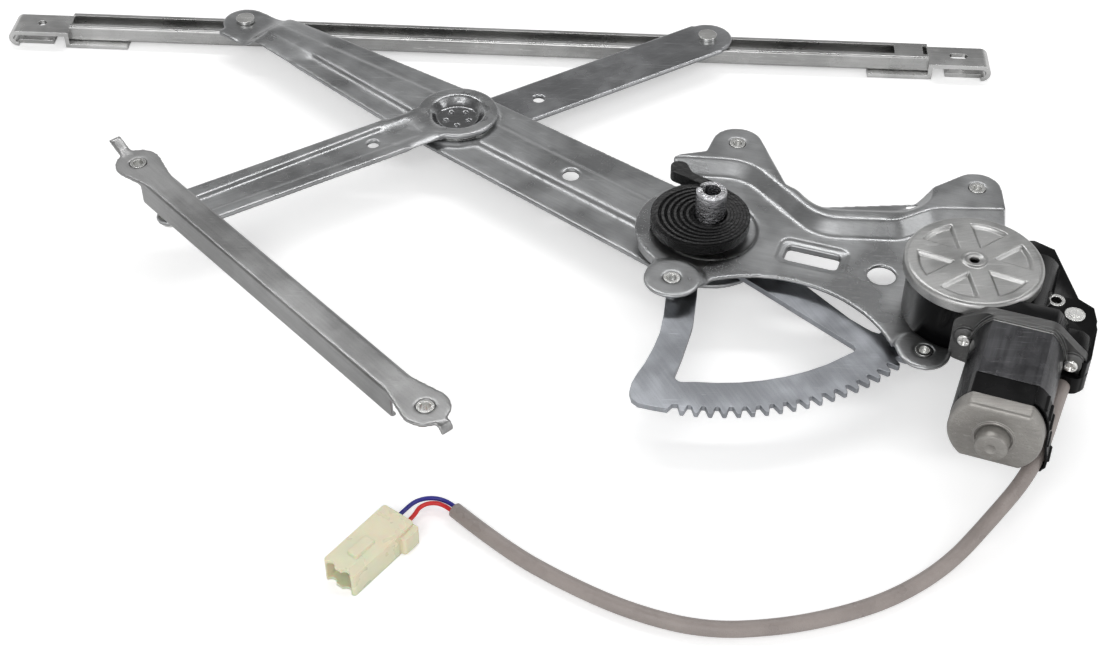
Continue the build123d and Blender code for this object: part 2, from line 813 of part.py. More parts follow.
with BuildSketch() as plate_outline:
    Circle(ring_r)
    with BuildLine():
        front = ThreePointArc((0.5, -38.9), (61.3, -48.0), (84.9, -86.9))
        Polyline(front @ 1, (112.0, -84.0), (150.0, -82.0), (158.0, -70.0), (158.0, -38.0),
                 (144.5, 8.0), (107.0, 26.5), (51.0, 20.0), (30.0, 36.0), (0.5, 20.0), front @ 0)
    make_face()
    for each in ear_hulls:
        add(each)
    add(spring_hook)

with BuildSketch() as front_ear_foot:
    with Locations((front_ears[1][0], front_ears[1][1])):
        Circle(front_ears[1][2] + ear_rise)
    with Locations((output_x, output_y)):
        Circle(case_r + 0.3, mode=Mode.SUBTRACT)

with BuildPart() as plate_form:
    with BuildSketch(level(plate_top - die_depth)):
        add(plate_outline.sketch)
    extrude(amount=die_depth)
    with BuildSketch(level(plate_top)):
        add(raised_foot)
    extrude(amount=rear_rise, taper=rear_slope)
    with BuildSketch(level(plate_top)):
        with Locations((front_ears[0][0], front_ears[0][1])):
            Circle(front_ears[0][2] + ear_rise)
    extrude(amount=ear_rise, taper=45)
    with BuildSketch(level(plate_top)):
        add(front_ear_foot.sketch)
    extrude(amount=ear_rise, taper=30)
    with BuildSketch(level(plate_top - dish_depth)):
        Circle(dish_r - dish_depth)
    extrude(amount=dish_depth + 0.5, taper=-45, mode=Mode.SUBTRACT)
    with BuildSketch(Plane(spot(*window_place, plate_top - frame_depth).origin,
                           x_dir=(*turned(1, window_turn), 0))):
        RectangleRounded(window_size[0] + 2 * window_frame - 2 * frame_depth,
                         window_size[1] + 2 * window_frame - 2 * frame_depth, window_frame)
    extrude(amount=frame_depth + 0.5, taper=-45, mode=Mode.SUBTRACT)
    with BuildSketch(level(plate_top - die_depth)):
        add(plate_outline.sketch)
    extrude(amount=die_depth + rear_rise + 5, mode=Mode.INTERSECT)

window_plane = Plane(spot(*window_place, plate_bottom - frame_depth - collar_depth).origin,
                     x_dir=(*turned(1, window_turn), 0))
with BuildPart() as base_plate:
    add(pressed(plate_form.part, plate_sheet))
    with BuildSketch(window_plane):
        RectangleRounded(window_size[0] + 2 * collar_wall, window_size[1] + 2 * collar_wall, 3.5)
    extrude(amount=collar_depth + plate_sheet / 2)
    with BuildSketch(window_plane):
        RectangleRounded(*window_size, 2)
    extrude(amount=20, mode=Mode.SUBTRACT)
    # turned-down edge at the left of the ring
    with BuildSketch(level(plate_bottom - flange_drop)):
        with BuildLine():
            edge = CenterArc((0, 0), ring_r, 198, 34)
            inside = CenterArc((0, 0), ring_r - plate_sheet, 198, 34)
            Line(edge @ 0, inside @ 0)
            Line(edge @ 1, inside @ 1)
        make_face()
    extrude(amount=flange_drop + plate_sheet / 2)
    with BuildSketch(level(0)):
        Circle(shaft_r + shaft_play + bush_wall)
        with Locations(*[(x, y) for x, y, _ in front_ears + rear_ears]):
            Circle(ear_hole_r)
        with Locations(plate_hole[:2]):
            Circle(plate_hole[2])
        with Locations((output_x, output_y)):
            Circle(pinion_hole_r)
        with Locations(*motor_bolt_places):
            Circle(bolt_r)
        with Locations((100.5, 22.8)):
            RectangleRounded(6.0, 2.6, 1.2)
    extrude(amount=rear_top + 5, mode=Mode.SUBTRACT)
keep(base_plate.part, "base_plate")

front_nut_places = [spot(x, y, ear_top) for x, y, _ in front_ears]
rear_nut_places = [spot(x, y, rear_top) for x, y, _ in rear_ears]
plate_nuts = weld_nuts(front_nut_places + rear_nut_places, plate_sheet)
keep(plate_nuts, "plate_weld_nuts")

# Pivot bush: a flanged sleeve in the dish, under the spring
bush_outer_r = shaft_r + shaft_play + bush_wall
with BuildPart() as pivot_bush:
    with BuildSketch(level(sector_top + bush_lift)):
        Circle(bush_outer_r)
    extrude(amount=spring_bottom - sector_top - bush_lift - spring_seat)
    with BuildSketch(level(plate_top - dish_depth)):
        Circle(bush_outer_r + bush_flange)
    extrude(amount=1.5)
    with BuildSketch(level(0)):
        Circle(shaft_r + shaft_play)
    extrude(amount=spring_bottom, mode=Mode.SUBTRACT)
keep(pivot_bush.part, "pivot_bush")


# Counterbalance spring: a flat strip wound outwards and hooked on the plate's left end
def spiral_point(turn, side):
    share = turn / spring_turns
    inner_r = shaft_r + spring_gap + spring_strip / 2
    radius = inner_r + share * (spring_outer_r - spring_strip / 2 - inner_r) + side * spring_strip / 2
    angle = math.radians(spring_leave + 360 * (turn - spring_turns))
    return (radius * math.cos(angle) - share * spring_shift, radius * math.sin(angle))


spiral_steps = 14
turns = [n / spiral_steps for n in range(int(spring_turns * spiral_steps) + 1)]
with BuildPart() as counterbalance_spring:
    with BuildSketch(level(spring_bottom)):
        with BuildLine():
            outside = Spline(*[spiral_point(turn, 1) for turn in turns])
            inside = Spline(*[spiral_point(turn, -1) for turn in turns])
            Line(outside @ 0, inside @ 0)
            Line(outside @ 1, inside @ 1)
        make_face()
        add(strip([spiral_point(spring_turns, 0), (-19.4, 41.0), (-21.0, 43.6), (-20.4, 48.6)],
                  spring_strip))
    extrude(amount=spring_width)
keep(counterbalance_spring.part, "counterbalance_spring")

# Output shaft with the pinion below the plate
pinion_phase = mesh_angle + 180 - sector_full_teeth / pinion_teeth * (mesh_valley - mesh_angle)
with BuildPart() as output_pinion:
    with BuildSketch(output_plane(sector_bottom - pinion_overlap)):
        Circle(pinion_pitch_r - 2.7)
        with PolarLocations(0, pinion_teeth, start_angle=pinion_phase):
            add(pinion_tooth)
    extrude(amount=sector_sheet + 2 * pinion_overlap)
    with BuildSketch(output_plane(sector_top + pinion_overlap)):
        Circle(output_shaft_r)
    extrude(amount=cover_top - 4 - sector_top - pinion_overlap)
    # three-armed driver held in the damper
    with BuildSketch(output_plane(motor_axis + 1)):
        Circle(9)
        with PolarLocations(6, 3, start_angle=30):
            Rectangle(12, 5)
    extrude(amount=4)
keep(output_pinion.part, "output_pinion")

with BuildPart() as worm_wheel:
    with BuildSketch(output_plane(motor_axis - wheel_half)):
        Circle(wheel_r)
        with PolarLocations(wheel_r, wheel_teeth):
            Rectangle(2.6, 1.3, mode=Mode.SUBTRACT)
    extrude(amount=2 * wheel_half)
    with BuildSketch(output_plane(motor_axis - wheel_half + 2)):
        Circle(wheel_r - 5)
    extrude(amount=2 * wheel_half, mode=Mode.SUBTRACT)
    with BuildSketch(output_plane(motor_axis - wheel_half)):
        Circle(output_shaft_r + bearing_play)
    extrude(amount=2 * wheel_half, mode=Mode.SUBTRACT)
keep(worm_wheel.part, "worm_wheel")

with BuildPart() as drive_damper:
    with BuildSketch(output_plane(motor_axis - wheel_half + 2)):
        Circle(wheel_r - 5)
        Circle(9, mode=Mode.SUBTRACT)
        with PolarLocations(6, 3, start_angle=30):
            Rectangle(12.0, 5.0, mode=Mode.SUBTRACT)
    extrude(amount=motor_axis + 5 - (motor_axis - wheel_half + 2))
keep(drive_damper.part, "drive_damper")

# Motor cord: route of the sleeve from the housing to its end on the table, then the wires
start_step = turned(sleeve_start, motor_turn)
start_side = turned(sleeve_across, motor_turn + 90)
sleeve_z = sleeve_d / 2 + 0.1
sleeve_route = [(worm_x + start_step[0] + start_side[0], worm_y + start_step[1] + start_side[1],
                 motor_axis + sleeve_down),
                (151.5, -115.3, 34.7), (143.2, -138.5, 31.5), (135.2, -152.0, 23.5),
                (121.5, -164.5, 11.5), (102.8, -185.2, 4.6), (80.0, -203.0, sleeve_z),
                (57.0, -214.2, sleeve_z), (30.0, -222.5, sleeve_z), (0.0, -226.0, sleeve_z),
                (-30.0, -218.5, sleeve_z), (-58.0, -205.0, sleeve_z), (-85.5, -187.8, sleeve_z),
                (-108.7, -167.1, sleeve_z)]

# Gear housing: a cup for the wheel, the worm's tunnel and the block that carries the motor
case_top = cover_top - cover_sheet


def motor_section(offset_by):
    with BuildSketch() as section:
        Circle(can_width / 2 + offset_by)
        Rectangle(can_width + 10, can_thick + 2 * offset_by, mode=Mode.INTERSECT)
    return section.sketch


def lobes(radius):
    return hull([(-lobe_offset, 0, radius), (lobe_offset, 0, radius)])


can_outline = motor_section(0)
can_inside = motor_section(-can_wall)
bracket_outline = motor_section(bracket_rim)
lobe_outline = lobes(lobe_r)
housing_block = polygon([(136.0, -22.0), (152.0, -21.5), (160.5, -27.5), (166.5, -62.0),
                         (172.5, -68.0), (172.5, -77.0), (167.0, -94.8), (112.0, -78.4),
                         (128.0, -40.0)])
housing_wing = polygon([(20.0, 30.2), (41.0, 30.2), (43.0, 31.4), (40.0, 33.2), (20.0, 34.5)])
sleeve_exit = motor_plane(sleeve_start).from_local_coords(Vector(sleeve_across, sleeve_down, 0))
sleeve_plane = Plane(sleeve_exit, z_dir=Vector(*sleeve_route[0]) - Vector(*sleeve_route[1]))
with BuildPart() as gear_housing:
    with BuildSketch(motor_plane(neck_from)):
        add(can_outline)
    extrude(amount=flange_at - bracket_plate_sheet - neck_from)
    with BuildSketch(motor_plane(neck_from)):
        add(lobe_outline)
    extrude(amount=flange_at - lobe_depth - neck_from)
    with BuildSketch(output_plane(cover_top - cover_skirt - cover_clear)):
        Circle(cover_r + cover_clear)
    extrude(amount=cover_top, mode=Mode.SUBTRACT)
    with BuildSketch(output_plane(plate_top)):
        Circle(case_r)
    extrude(amount=case_top - plate_top)
    with BuildSketch(output_plane(cover_top - cover_skirt)):
        Circle(cover_r - cover_sheet)
    extrude(amount=cover_skirt - cover_sheet)
    with BuildSketch(level(plate_top)):
        add(housing_block)
    extrude(amount=block_top - plate_top)
    with BuildSketch(motor_flat(plate_top)):
        add(housing_wing)
    extrude(amount=motor_axis - plate_top)
    with BuildSketch(motor_plane(-tunnel_back)):
        Circle(tunnel_r)
    extrude(amount=tunnel_back + flange_at - lobe_depth)
    with BuildSketch(level(0)):
        Rectangle(1000, 1000)
    extrude(amount=plate_top, mode=Mode.SUBTRACT)
    # wheel chamber, with a boss for the output shaft
    with BuildSketch(output_plane(plate_top + case_wall)):
        Circle(case_r - case_wall)
        Circle(output_shaft_r + case_wall + 1, mode=Mode.SUBTRACT)
        with Locations(inner_boss):
            Circle(bolt_r + case_wall, mode=Mode.SUBTRACT)
    extrude(amount=motor_axis - wheel_half - 1 - plate_top - case_wall, mode=Mode.SUBTRACT)
    with BuildSketch(output_plane(motor_axis - wheel_half - 1)):
        Circle(case_r - case_wall)
    extrude(amount=case_top - motor_axis + wheel_half + 1, mode=Mode.SUBTRACT)
    with BuildSketch(output_plane(plate_top)):
        Circle(output_shaft_r + bearing_play)
    extrude(amount=case_top, mode=Mode.SUBTRACT)
    with BuildSketch(motor_plane(-tunnel_back + case_wall)):
        Circle(worm_r + 1.5)
    extrude(amount=tunnel_back + flange_at, mode=Mode.SUBTRACT)
    # pockets for bolts, insert, bush and the cord's grommet
    with BuildSketch(level(plate_top)):
        with Locations(motor_bolt_places[1], motor_bolt_places[2]):
            Circle(bolt_r)
    extrude(amount=bolt_reach, mode=Mode.SUBTRACT)
    with BuildSketch(level(plate_top)):
        with Locations(motor_bolt_places[0]):
            Circle(bush_sleeve_r)
    extrude(amount=case_top, mode=Mode.SUBTRACT)
    with BuildSketch(level(block_top - insert_length)):
        with Locations(insert_place):
            Circle(insert_r)
    extrude(amount=case_top, mode=Mode.SUBTRACT)
    with BuildSketch(sleeve_plane.offset(-2 * grommet_length)):
        Circle(grommet_r)
    extrude(amount=3 * grommet_length, mode=Mode.SUBTRACT)
    with BuildSketch(motor_plane(flange_at - bracket_plate_sheet - bush_length)):
        Circle(front_bearing_r)
    extrude(amount=20, mode=Mode.SUBTRACT)
    with BuildSketch(motor_plane(flange_at - lobe_depth - screw_reach)):
        with Locations((-lobe_offset, 0), (lobe_offset, 0)):
            Circle(screw_r)
    extrude(amount=30, mode=Mode.SUBTRACT)
keep(gear_housing.part, "gear_housing")

# Gear cover: a pressed lid with six sunk panels, a raised ring and a skirt
with BuildSketch() as panel:
    with BuildLine():
        far = CenterArc((0, 0), 24.5, -21, 42)
        near = CenterArc((0, 0), 8.5, -8, 16)
        Line(far @ 0, near @ 0)
        Line(far @ 1, near @ 1)
    make_face()
    fillet(panel.vertices(), 1.4)
with BuildPart() as cover_form:
    with BuildSketch(output_plane(cover_top - die_depth)):
        Circle(cover_r)
    extrude(amount=die_depth)
    fillet(cover_form.faces().sort_by(Axis.Z)[-1].edges(), 1.2)
    with BuildSketch(output_plane(cover_top - panel_depth)):
        with PolarLocations(0, 6, start_angle=cover_turn):
            add(panel.sketch)
    extrude(amount=panel_depth + 0.5, taper=-40, mode=Mode.SUBTRACT)
    with BuildSketch(output_plane(cover_top)):
        Circle(cover_ring_r)
    extrude(amount=0.8, taper=40)
with BuildPart() as gear_cover:
    add(pressed(cover_form.part, cover_sheet))
    with BuildSketch(output_plane(cover_top - cover_skirt)):
        Circle(cover_r)
        Circle(cover_r - cover_sheet, mode=Mode.SUBTRACT)
    extrude(amount=cover_skirt - cover_sheet)
    with BuildSketch(output_plane(cover_top - 5)):
        Circle(cover_hole_r)
    extrude(amount=10, mode=Mode.SUBTRACT)
keep(gear_cover.part, "gear_cover")

# Motor: flange bracket with its two lobes, can, brush holder and end cap
with BuildPart() as flange_bracket:
    with BuildSketch(motor_plane(flange_at - lobe_depth)):
        add(lobe_outline)
        add(can_outline, mode=Mode.SUBTRACT)
    extrude(amount=lobe_depth + bracket_lip)
    with BuildSketch(motor_plane(flange_at - bracket_plate_sheet)):
        add(bracket_outline)
        add(lobe_outline)
    extrude(amount=bracket_plate_sheet + bracket_lip)
    with BuildSketch(motor_plane(flange_at)):
        add(can_outline)
    extrude(amount=bracket_lip + 1, mode=Mode.SUBTRACT)
    with BuildSketch(motor_plane(flange_at - lobe_depth)):
        Circle(front_bearing_r)
        with Locations((-lobe_offset, 0), (lobe_offset, 0)):
            Circle(screw_r)
    extrude(amount=lobe_depth + 10, mode=Mode.SUBTRACT)
keep(flange_bracket.part, "flange_bracket")

with BuildPart() as motor_can:
    with BuildSketch(motor_plane(flange_at)):
        add(can_outline)
        add(can_inside, mode=Mode.SUBTRACT)
    extrude(amount=can_end - cap_depth - flange_at)
    with BuildSketch(motor_plane(can_end - cap_depth - band_length)):
        Rectangle(band_width, can_thick + 10)
    extrude(amount=band_length + 5, mode=Mode.SUBTRACT)
keep(motor_can.part, "motor_can")

with BuildPart() as brush_holder:
    with BuildSketch(motor_plane(can_end - cap_depth - band_length)):
        add(can_inside)
        Rectangle(band_width, can_thick - 0.6)
        Circle(commutator_r + 2, mode=Mode.SUBTRACT)
        Rectangle(brush_span, brush_width, mode=Mode.SUBTRACT)
    extrude(amount=band_length)
keep(brush_holder.part, "brush_holder")

with BuildPart() as brushes:
    with BuildSketch(motor_plane(commutator_at + 1)):
        for side in (-1, 1):
            with Locations((side * (commutator_r + 0.3 + (brush_span / 2 - commutator_r) / 2), 0)):
                Rectangle(brush_span / 2 - commutator_r - 0.6, brush_width - 0.4)
    extrude(amount=commutator_length - 2)
keep(brushes.part, "brushes")

with BuildPart() as end_cap:
    with BuildSketch(motor_plane(can_end - cap_depth)):
        add(can_outline)
    extrude(amount=cap_depth)
    fillet(end_cap.faces().sort_by(motor_along)[-1].edges(), 3.0)
    with BuildSketch(motor_plane(can_end)):
        Circle(boss_r)
    extrude(amount=boss_length)
    fillet(end_cap.faces().sort_by(motor_along)[-1].edges(), 1.2)
    with BuildSketch(motor_plane(can_end - cap_depth)):
        Circle(rear_bearing_r)
    extrude(amount=cap_depth + boss_length - 2.5, mode=Mode.SUBTRACT)
keep(end_cap.part, "end_cap")

with BuildPart() as field_magnets:
    with BuildSketch(motor_plane(magnet_at)):
        add(can_inside)
        Circle(can_width / 2 - can_wall - magnet_wall, mode=Mode.SUBTRACT)
        Rectangle(4 * can_width, 2 * magnet_half, mode=Mode.INTERSECT)
    extrude(amount=magnet_length)
keep(field_magnets.part, "field_magnets")

with BuildPart() as armature_bushes:
    with BuildSketch(motor_plane(flange_at - bracket_plate_sheet - bush_length)):
        Circle(front_bearing_r)
        Circle(motor_shaft_r + bearing_play, mode=Mode.SUBTRACT)
    extrude(amount=bush_length)
    with BuildSketch(motor_plane(can_end - 4)):
        Circle(rear_bearing_r)
        Circle(motor_shaft_r + bearing_play, mode=Mode.SUBTRACT)
    extrude(amount=boss_length)
keep(armature_bushes.part, "armature_bushes")

with BuildPart() as armature:
    with BuildSketch(motor_plane(-tunnel_back + case_wall + 1)):
        Circle(motor_shaft_r)
    extrude(amount=can_end + boss_length - 3.5 + tunnel_back - case_wall - 1)
    with BuildSketch(motor_plane(core_at)):
        Circle(core_r)
    extrude(amount=core_length)
    with BuildSketch(motor_plane(core_at)):
        with PolarLocations(core_r, 10):
            Rectangle(4, 1.6)
    extrude(amount=core_length, mode=Mode.SUBTRACT)
keep(armature.part, "armature")

with BuildPart() as worm:
    with BuildSketch(motor_plane(-worm_length / 2)):
        Circle(worm_r)
        Circle(motor_shaft_r, mode=Mode.SUBTRACT)
    extrude(amount=worm_length)
keep(worm.part, "worm")

with BuildPart() as commutator:
    with BuildSketch(motor_plane(commutator_at)):
        Circle(commutator_r)
        Circle(motor_shaft_r, mode=Mode.SUBTRACT)
        with PolarLocations(commutator_r, 10, start_angle=18):
            Rectangle(1.6, 0.6, mode=Mode.SUBTRACT)
    extrude(amount=commutator_length)
keep(commutator.part, "commutator")

# Fasteners of the motor
with BuildPart() as motor_screws:
    with BuildSketch(motor_plane(flange_at - lobe_depth - screw_reach)):
        with Locations((-lobe_offset, 0), (lobe_offset, 0)):
            Circle(screw_r)
    extrude(amount=screw_reach + lobe_depth + bracket_lip)
    with BuildSketch(motor_plane(flange_at + bracket_lip)):
        with Locations((-lobe_offset, 0), (lobe_offset, 0)):
            Circle(screw_head_r)
    extrude(amount=screw_head)
    fillet(motor_screws.faces().sort_by(motor_along)[-2:].edges(), 0.8)
    with BuildSketch(motor_plane(flange_at + bracket_lip + screw_head - 1.2)):
        with Locations((-lobe_offset, 0), (lobe_offset, 0)):
            Rectangle(4.2, 1.0)
            Rectangle(1.0, 4.2)
    extrude(amount=2, mode=Mode.SUBTRACT)
keep(motor_screws.part, "motor_screws")

with BuildPart() as motor_bolts:
    with BuildSketch(level(plate_bottom - bolt_head)):
        with Locations(*motor_bolt_places):
            RegularPolygon(bolt_head_r, 6)
    extrude(amount=bolt_head)
    with BuildSketch(level(plate_bottom)):
        with Locations(*motor_bolt_places):
            Circle(bolt_r)
    extrude(amount=plate_sheet + bolt_reach)
    with BuildSketch(level(plate_bottom)):
        with Locations(motor_bolt_places[0]):
            Circle(bolt_r)
    extrude(amount=block_top + 0.4 - plate_bottom)
keep(motor_bolts.part, "motor_bolts")

with BuildPart() as mount_bush:
    with BuildSketch(level(plate_top)):
        with Locations(motor_bolt_places[0]):
            Circle(bush_sleeve_r)
            Circle(bolt_r, mode=Mode.SUBTRACT)
    extrude(amount=block_top + 0.2 - plate_top)
keep(mount_bush.part, "mount_bush")

with BuildPart() as threaded_insert:
    with BuildSketch(level(block_top - insert_length)):
        with Locations(insert_place):
            Circle(insert_r)
            Circle(thread_r, mode=Mode.SUBTRACT)
    extrude(amount=insert_length + 0.4)
keep(threaded_insert.part, "threaded_insert")

strap_face = strip([(17.95, 10.8), (23.2, 3.5), (25.9, -6.0), (25.9, -18.5), (22.8, -24.6),
                    (18.5, -25.8)], strap_sheet)
with BuildPart() as cable_strap:
    with BuildSketch(motor_plane(strap_at)):
        add(strap_face)
    extrude(amount=strap_length)
keep(cable_strap.part, "cable_strap")

# Straight runs joined by tangent arcs, each as large as its two runs allow
def route(points):
    corners = [Vector(*point) for point in points]
    radii = []
    for before, at, after in zip(corners, corners[1:], corners[2:]):
        half_turn = math.radians((at - before).get_angle(after - at) / 2)
        shorter = min((at - before).length, (after - at).length)
        radii.append(0.45 * shorter / math.tan(half_turn))
    moved = [corner + Vector(pivot_x, pivot_y, 0) for corner in corners]
    with BuildLine() as path:
        FilletPolyline(*moved, radius=radii)
    return path.wires()[0], radii


def cord(points, diameter, name):
    path, radii = route(points)
    with BuildPart() as tube:
        with BuildSketch(Plane(path @ 0, z_dir=path % 0)):
            Circle(diameter / 2)
        sweep(path=path)
    area = math.pi * diameter ** 2 / 4
    print(name, "length %.1f" % path.length, "volume ratio %.4f" % (tube.part.volume / area / path.length),
          "radii", [round(radius, 1) for radius in radii])
    keep(tube.part, name)


cord(sleeve_route, sleeve_d, "cable_sleeve")

# Connector housing and its wires
connector_dir = turned(1, connector_turn)
connector_side = turned(1, connector_turn + 90)


def in_connector(x, y, z):
    return (connector_place[0] + connector_dir[0] * x + connector_side[0] * y,
            connector_place[1] + connector_dir[1] * x + connector_side[1] * y, z)


def connector_plane(z):
    return Plane((pivot_x + connector_place[0], pivot_y + connector_place[1], z),
                 x_dir=(*connector_dir, 0))


sleeve_end = Vector(*sleeve_route[-1])
end_dir = (sleeve_end - Vector(*sleeve_route[-2])).normalized()
end_side = Vector(-end_dir.Y, end_dir.X, 0)
wire_spread = 1.3


def wire_route(side, middle, entry_y):
    start = sleeve_end + end_side * side * wire_spread
    first = start + end_dir * 6.0
    return [(start.X, start.Y, start.Z), (first.X, first.Y, first.Z), *middle,
            in_connector(-wire_lead, entry_y, wire_z), in_connector(0, entry_y, wire_z)]


cord(wire_route(-1, [(-119.5, -160.9, 4.2), (-126.2, -164.3, 5.3)], -3.0), wire_d, "blue_wire")
cord(wire_route(1, [(-119.9, -164.0, 4.2), (-124.3, -168.0, 5.3)], 2.5), wire_d, "red_wire")

with BuildPart() as connector_housing:
    with BuildSketch(connector_plane(0)):
        with Locations((connector_length / 2, 0)):
            RectangleRounded(connector_length, connector_width, 1.5)
    extrude(amount=connector_height)
    with BuildSketch(connector_plane(1.5)):
        with Locations((5, 1.5)):
            RectangleRounded(10, connector_width + 3, 1.5)
    extrude(amount=connector_height - 3)
    with BuildSketch(connector_plane(connector_height)):
        with Locations((connector_length / 2 + 5, 0)):
            RectangleRounded(12, 6, 1)
    extrude(amount=1.2, taper=20)
    with BuildSketch(Plane(connector_plane(connector_height / 2).from_local_coords(
            (connector_length, 0, 0)), x_dir=(*connector_side, 0),
            z_dir=(-connector_dir[0], -connector_dir[1], 0))):
        RectangleRounded(connector_width - 2 * connector_wall, connector_height - 2 * connector_wall, 1)
    extrude(amount=connector_mouth, mode=Mode.SUBTRACT)
    with BuildSketch(connector_plane(0)):
        with Locations((connector_length + 1, -connector_width / 4), (connector_length + 1,
                                                                      connector_width / 4)):
            Circle(2.6)
    extrude(amount=connector_height, mode=Mode.SUBTRACT)
keep(connector_housing.part, "connector_housing")

with BuildPart() as connector_terminals:
    with BuildSketch(connector_plane(connector_height / 2 - 0.4)):
        with GridLocations(0, 6, 1, 2):
            with Locations((connector_length - connector_mouth + terminal_length / 2, 0)):
                Rectangle(terminal_length, 3)
    extrude(amount=0.8)
keep(connector_terminals.part, "connector_terminals")

with BuildPart() as cable_grommet:
    with BuildSketch(sleeve_plane):
        Circle(grommet_r)
    extrude(amount=grommet_length)
keep(cable_grommet.part, "cable_grommet")

print(len(made), "pieces")
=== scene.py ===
import bmesh
import bpy
import math
from mathutils import Matrix, Vector


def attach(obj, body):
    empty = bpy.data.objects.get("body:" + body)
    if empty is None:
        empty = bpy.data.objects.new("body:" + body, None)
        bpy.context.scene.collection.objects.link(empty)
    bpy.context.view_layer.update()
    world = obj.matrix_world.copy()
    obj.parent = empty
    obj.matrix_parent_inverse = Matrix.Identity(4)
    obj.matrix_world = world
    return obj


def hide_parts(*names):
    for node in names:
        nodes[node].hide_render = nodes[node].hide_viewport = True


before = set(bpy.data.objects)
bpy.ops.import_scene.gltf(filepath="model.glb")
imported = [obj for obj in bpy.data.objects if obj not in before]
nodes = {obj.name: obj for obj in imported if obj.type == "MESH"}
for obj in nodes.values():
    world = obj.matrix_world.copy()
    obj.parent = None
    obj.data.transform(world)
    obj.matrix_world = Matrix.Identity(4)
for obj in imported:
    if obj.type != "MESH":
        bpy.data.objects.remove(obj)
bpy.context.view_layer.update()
scene = bpy.context.scene
print("frame loaded:", len(nodes), "nodes")

# Camera
cameraSet = {
    "place": (0.08399, -0.71678, 0.59684),
    "tilt": 47.734,        # degrees up from looking straight down
    "turn": 3.72,
    "lens": 59.56,
    "sensor": 36,
    "near": 0.05,
    "far": 20,
}


def makeCamera(settings):
    data = bpy.data.cameras.new("camera")
    data.lens = settings["lens"]
    data.sensor_width = settings["sensor"]
    data.clip_start = settings["near"]
    data.clip_end = settings["far"]
    camera = bpy.data.objects.new("camera", data)
    scene.collection.objects.link(camera)
    camera.location = settings["place"]
    camera.rotation_euler = (math.radians(settings["tilt"]), 0, math.radians(settings["turn"]))
    scene.camera = camera


makeCamera(cameraSet)


# Node helpers
def node(tree, kind, **values):
    made = tree.nodes.new(kind)
    for key, value in values.items():
        setattr(made, key, value)
    return made


def join(tree, source, target):
    tree.links.new(source, target)


def maths(tree, operation, first, second=None, third=None, clamp=False):
    made = node(tree, "ShaderNodeMath", operation=operation, use_clamp=clamp)
    for socket, value in zip(made.inputs, (first, second, third)):
        if value is None:
            continue
        if isinstance(value, (int, float)):
            socket.default_value = value
        else:
            join(tree, value, socket)
    return made.outputs[0]


def ramp(tree, value, low, high, toLow=0.0, toHigh=1.0, smooth=True):
    made = node(tree, "ShaderNodeMapRange", interpolation_type="SMOOTHSTEP" if smooth else "LINEAR")
    for label, setting in (("From Min", low), ("From Max", high), ("To Min", toLow), ("To Max", toHigh)):
        made.inputs[label].default_value = setting
    join(tree, value, made.inputs["Value"])
    return made.outputs[0]


def blendColour(tree, factor, first, second, mode="MIX"):
    made = node(tree, "ShaderNodeMix", data_type="RGBA", blend_type=mode, clamp_factor=True)
    for socket, value in ((made.inputs[0], factor), (made.inputs[6], first), (made.inputs[7], second)):
        if isinstance(value, (int, float)):
            socket.default_value = value
        elif isinstance(value, (tuple, list)):
            socket.default_value = (*value, 1)
        else:
            join(tree, value, socket)
    return made.outputs[2]


def noise(tree, vector, scale, detail=2.0, roughness=0.5, distortion=0.0):
    made = node(tree, "ShaderNodeTexNoise")
    made.inputs["Scale"].default_value = scale
    made.inputs["Detail"].default_value = detail
    made.inputs["Roughness"].default_value = roughness
    made.inputs["Distortion"].default_value = distortion
    join(tree, vector, made.inputs["Vector"])
    return made.outputs["Fac"]


# Room
room = {
    "floorSize": 8.0,
    "floorColour": (0.86, 0.86, 0.86),
    "floorDrop": 0.0002,    # keeps the floor clear of what lies on it
    "floorLift": 0.40,      # added where the camera sees the floor
    "skyLow": 1.0,          # what metal sees near the horizon
    "skyHigh": 0.34,        # what metal sees overhead and behind
    "skyFade": (0.08, 0.45),
    "skyFront": 0.45,       # added on the camera's side
    "frontFade": (-0.1, -0.8),
}
lamps = {
    "front": {"place": (-0.3, -1.5, 1.5), "size": (1.3, 0.7), "power": 10.0},
    "top": {"place": (0.0, 0.95, 1.75), "size": (2.4, 0.22), "power": 13.0},
    "side": {"place": (1.5, -0.2, 0.9), "size": (0.5, 1.0), "power": 3.5},
}


def makeSky(settings):
    world = bpy.data.worlds.new("studio")
    world.use_nodes = True
    scene.world = world
    tree = world.node_tree
    tree.nodes.clear()
    direction = node(tree, "ShaderNodeSeparateXYZ")
    join(tree, node(tree, "ShaderNodeTexCoord").outputs["Generated"], direction.inputs[0])
    height = ramp(tree, direction.outputs["Z"], *settings["skyFade"], settings["skyLow"], settings["skyHigh"])
    front = ramp(tree, direction.outputs["Y"], *settings["frontFade"], 0.0, settings["skyFront"])
    level = maths(tree, "ADD", height, front)
    path = node(tree, "ShaderNodeLightPath")
    seen = maths(tree, "MAXIMUM", path.outputs["Is Camera Ray"], path.outputs["Is Transmission Ray"])
    strength = node(tree, "ShaderNodeMix", data_type="FLOAT")
    join(tree, seen, strength.inputs[0])
    join(tree, level, strength.inputs[2])
    strength.inputs[3].default_value = 1.0
    background = node(tree, "ShaderNodeBackground")
    background.inputs["Color"].default_value = (1, 1, 1, 1)
    join(tree, strength.outputs[0], background.inputs["Strength"])
    join(tree, background.outputs[0], node(tree, "ShaderNodeOutputWorld").inputs["Surface"])


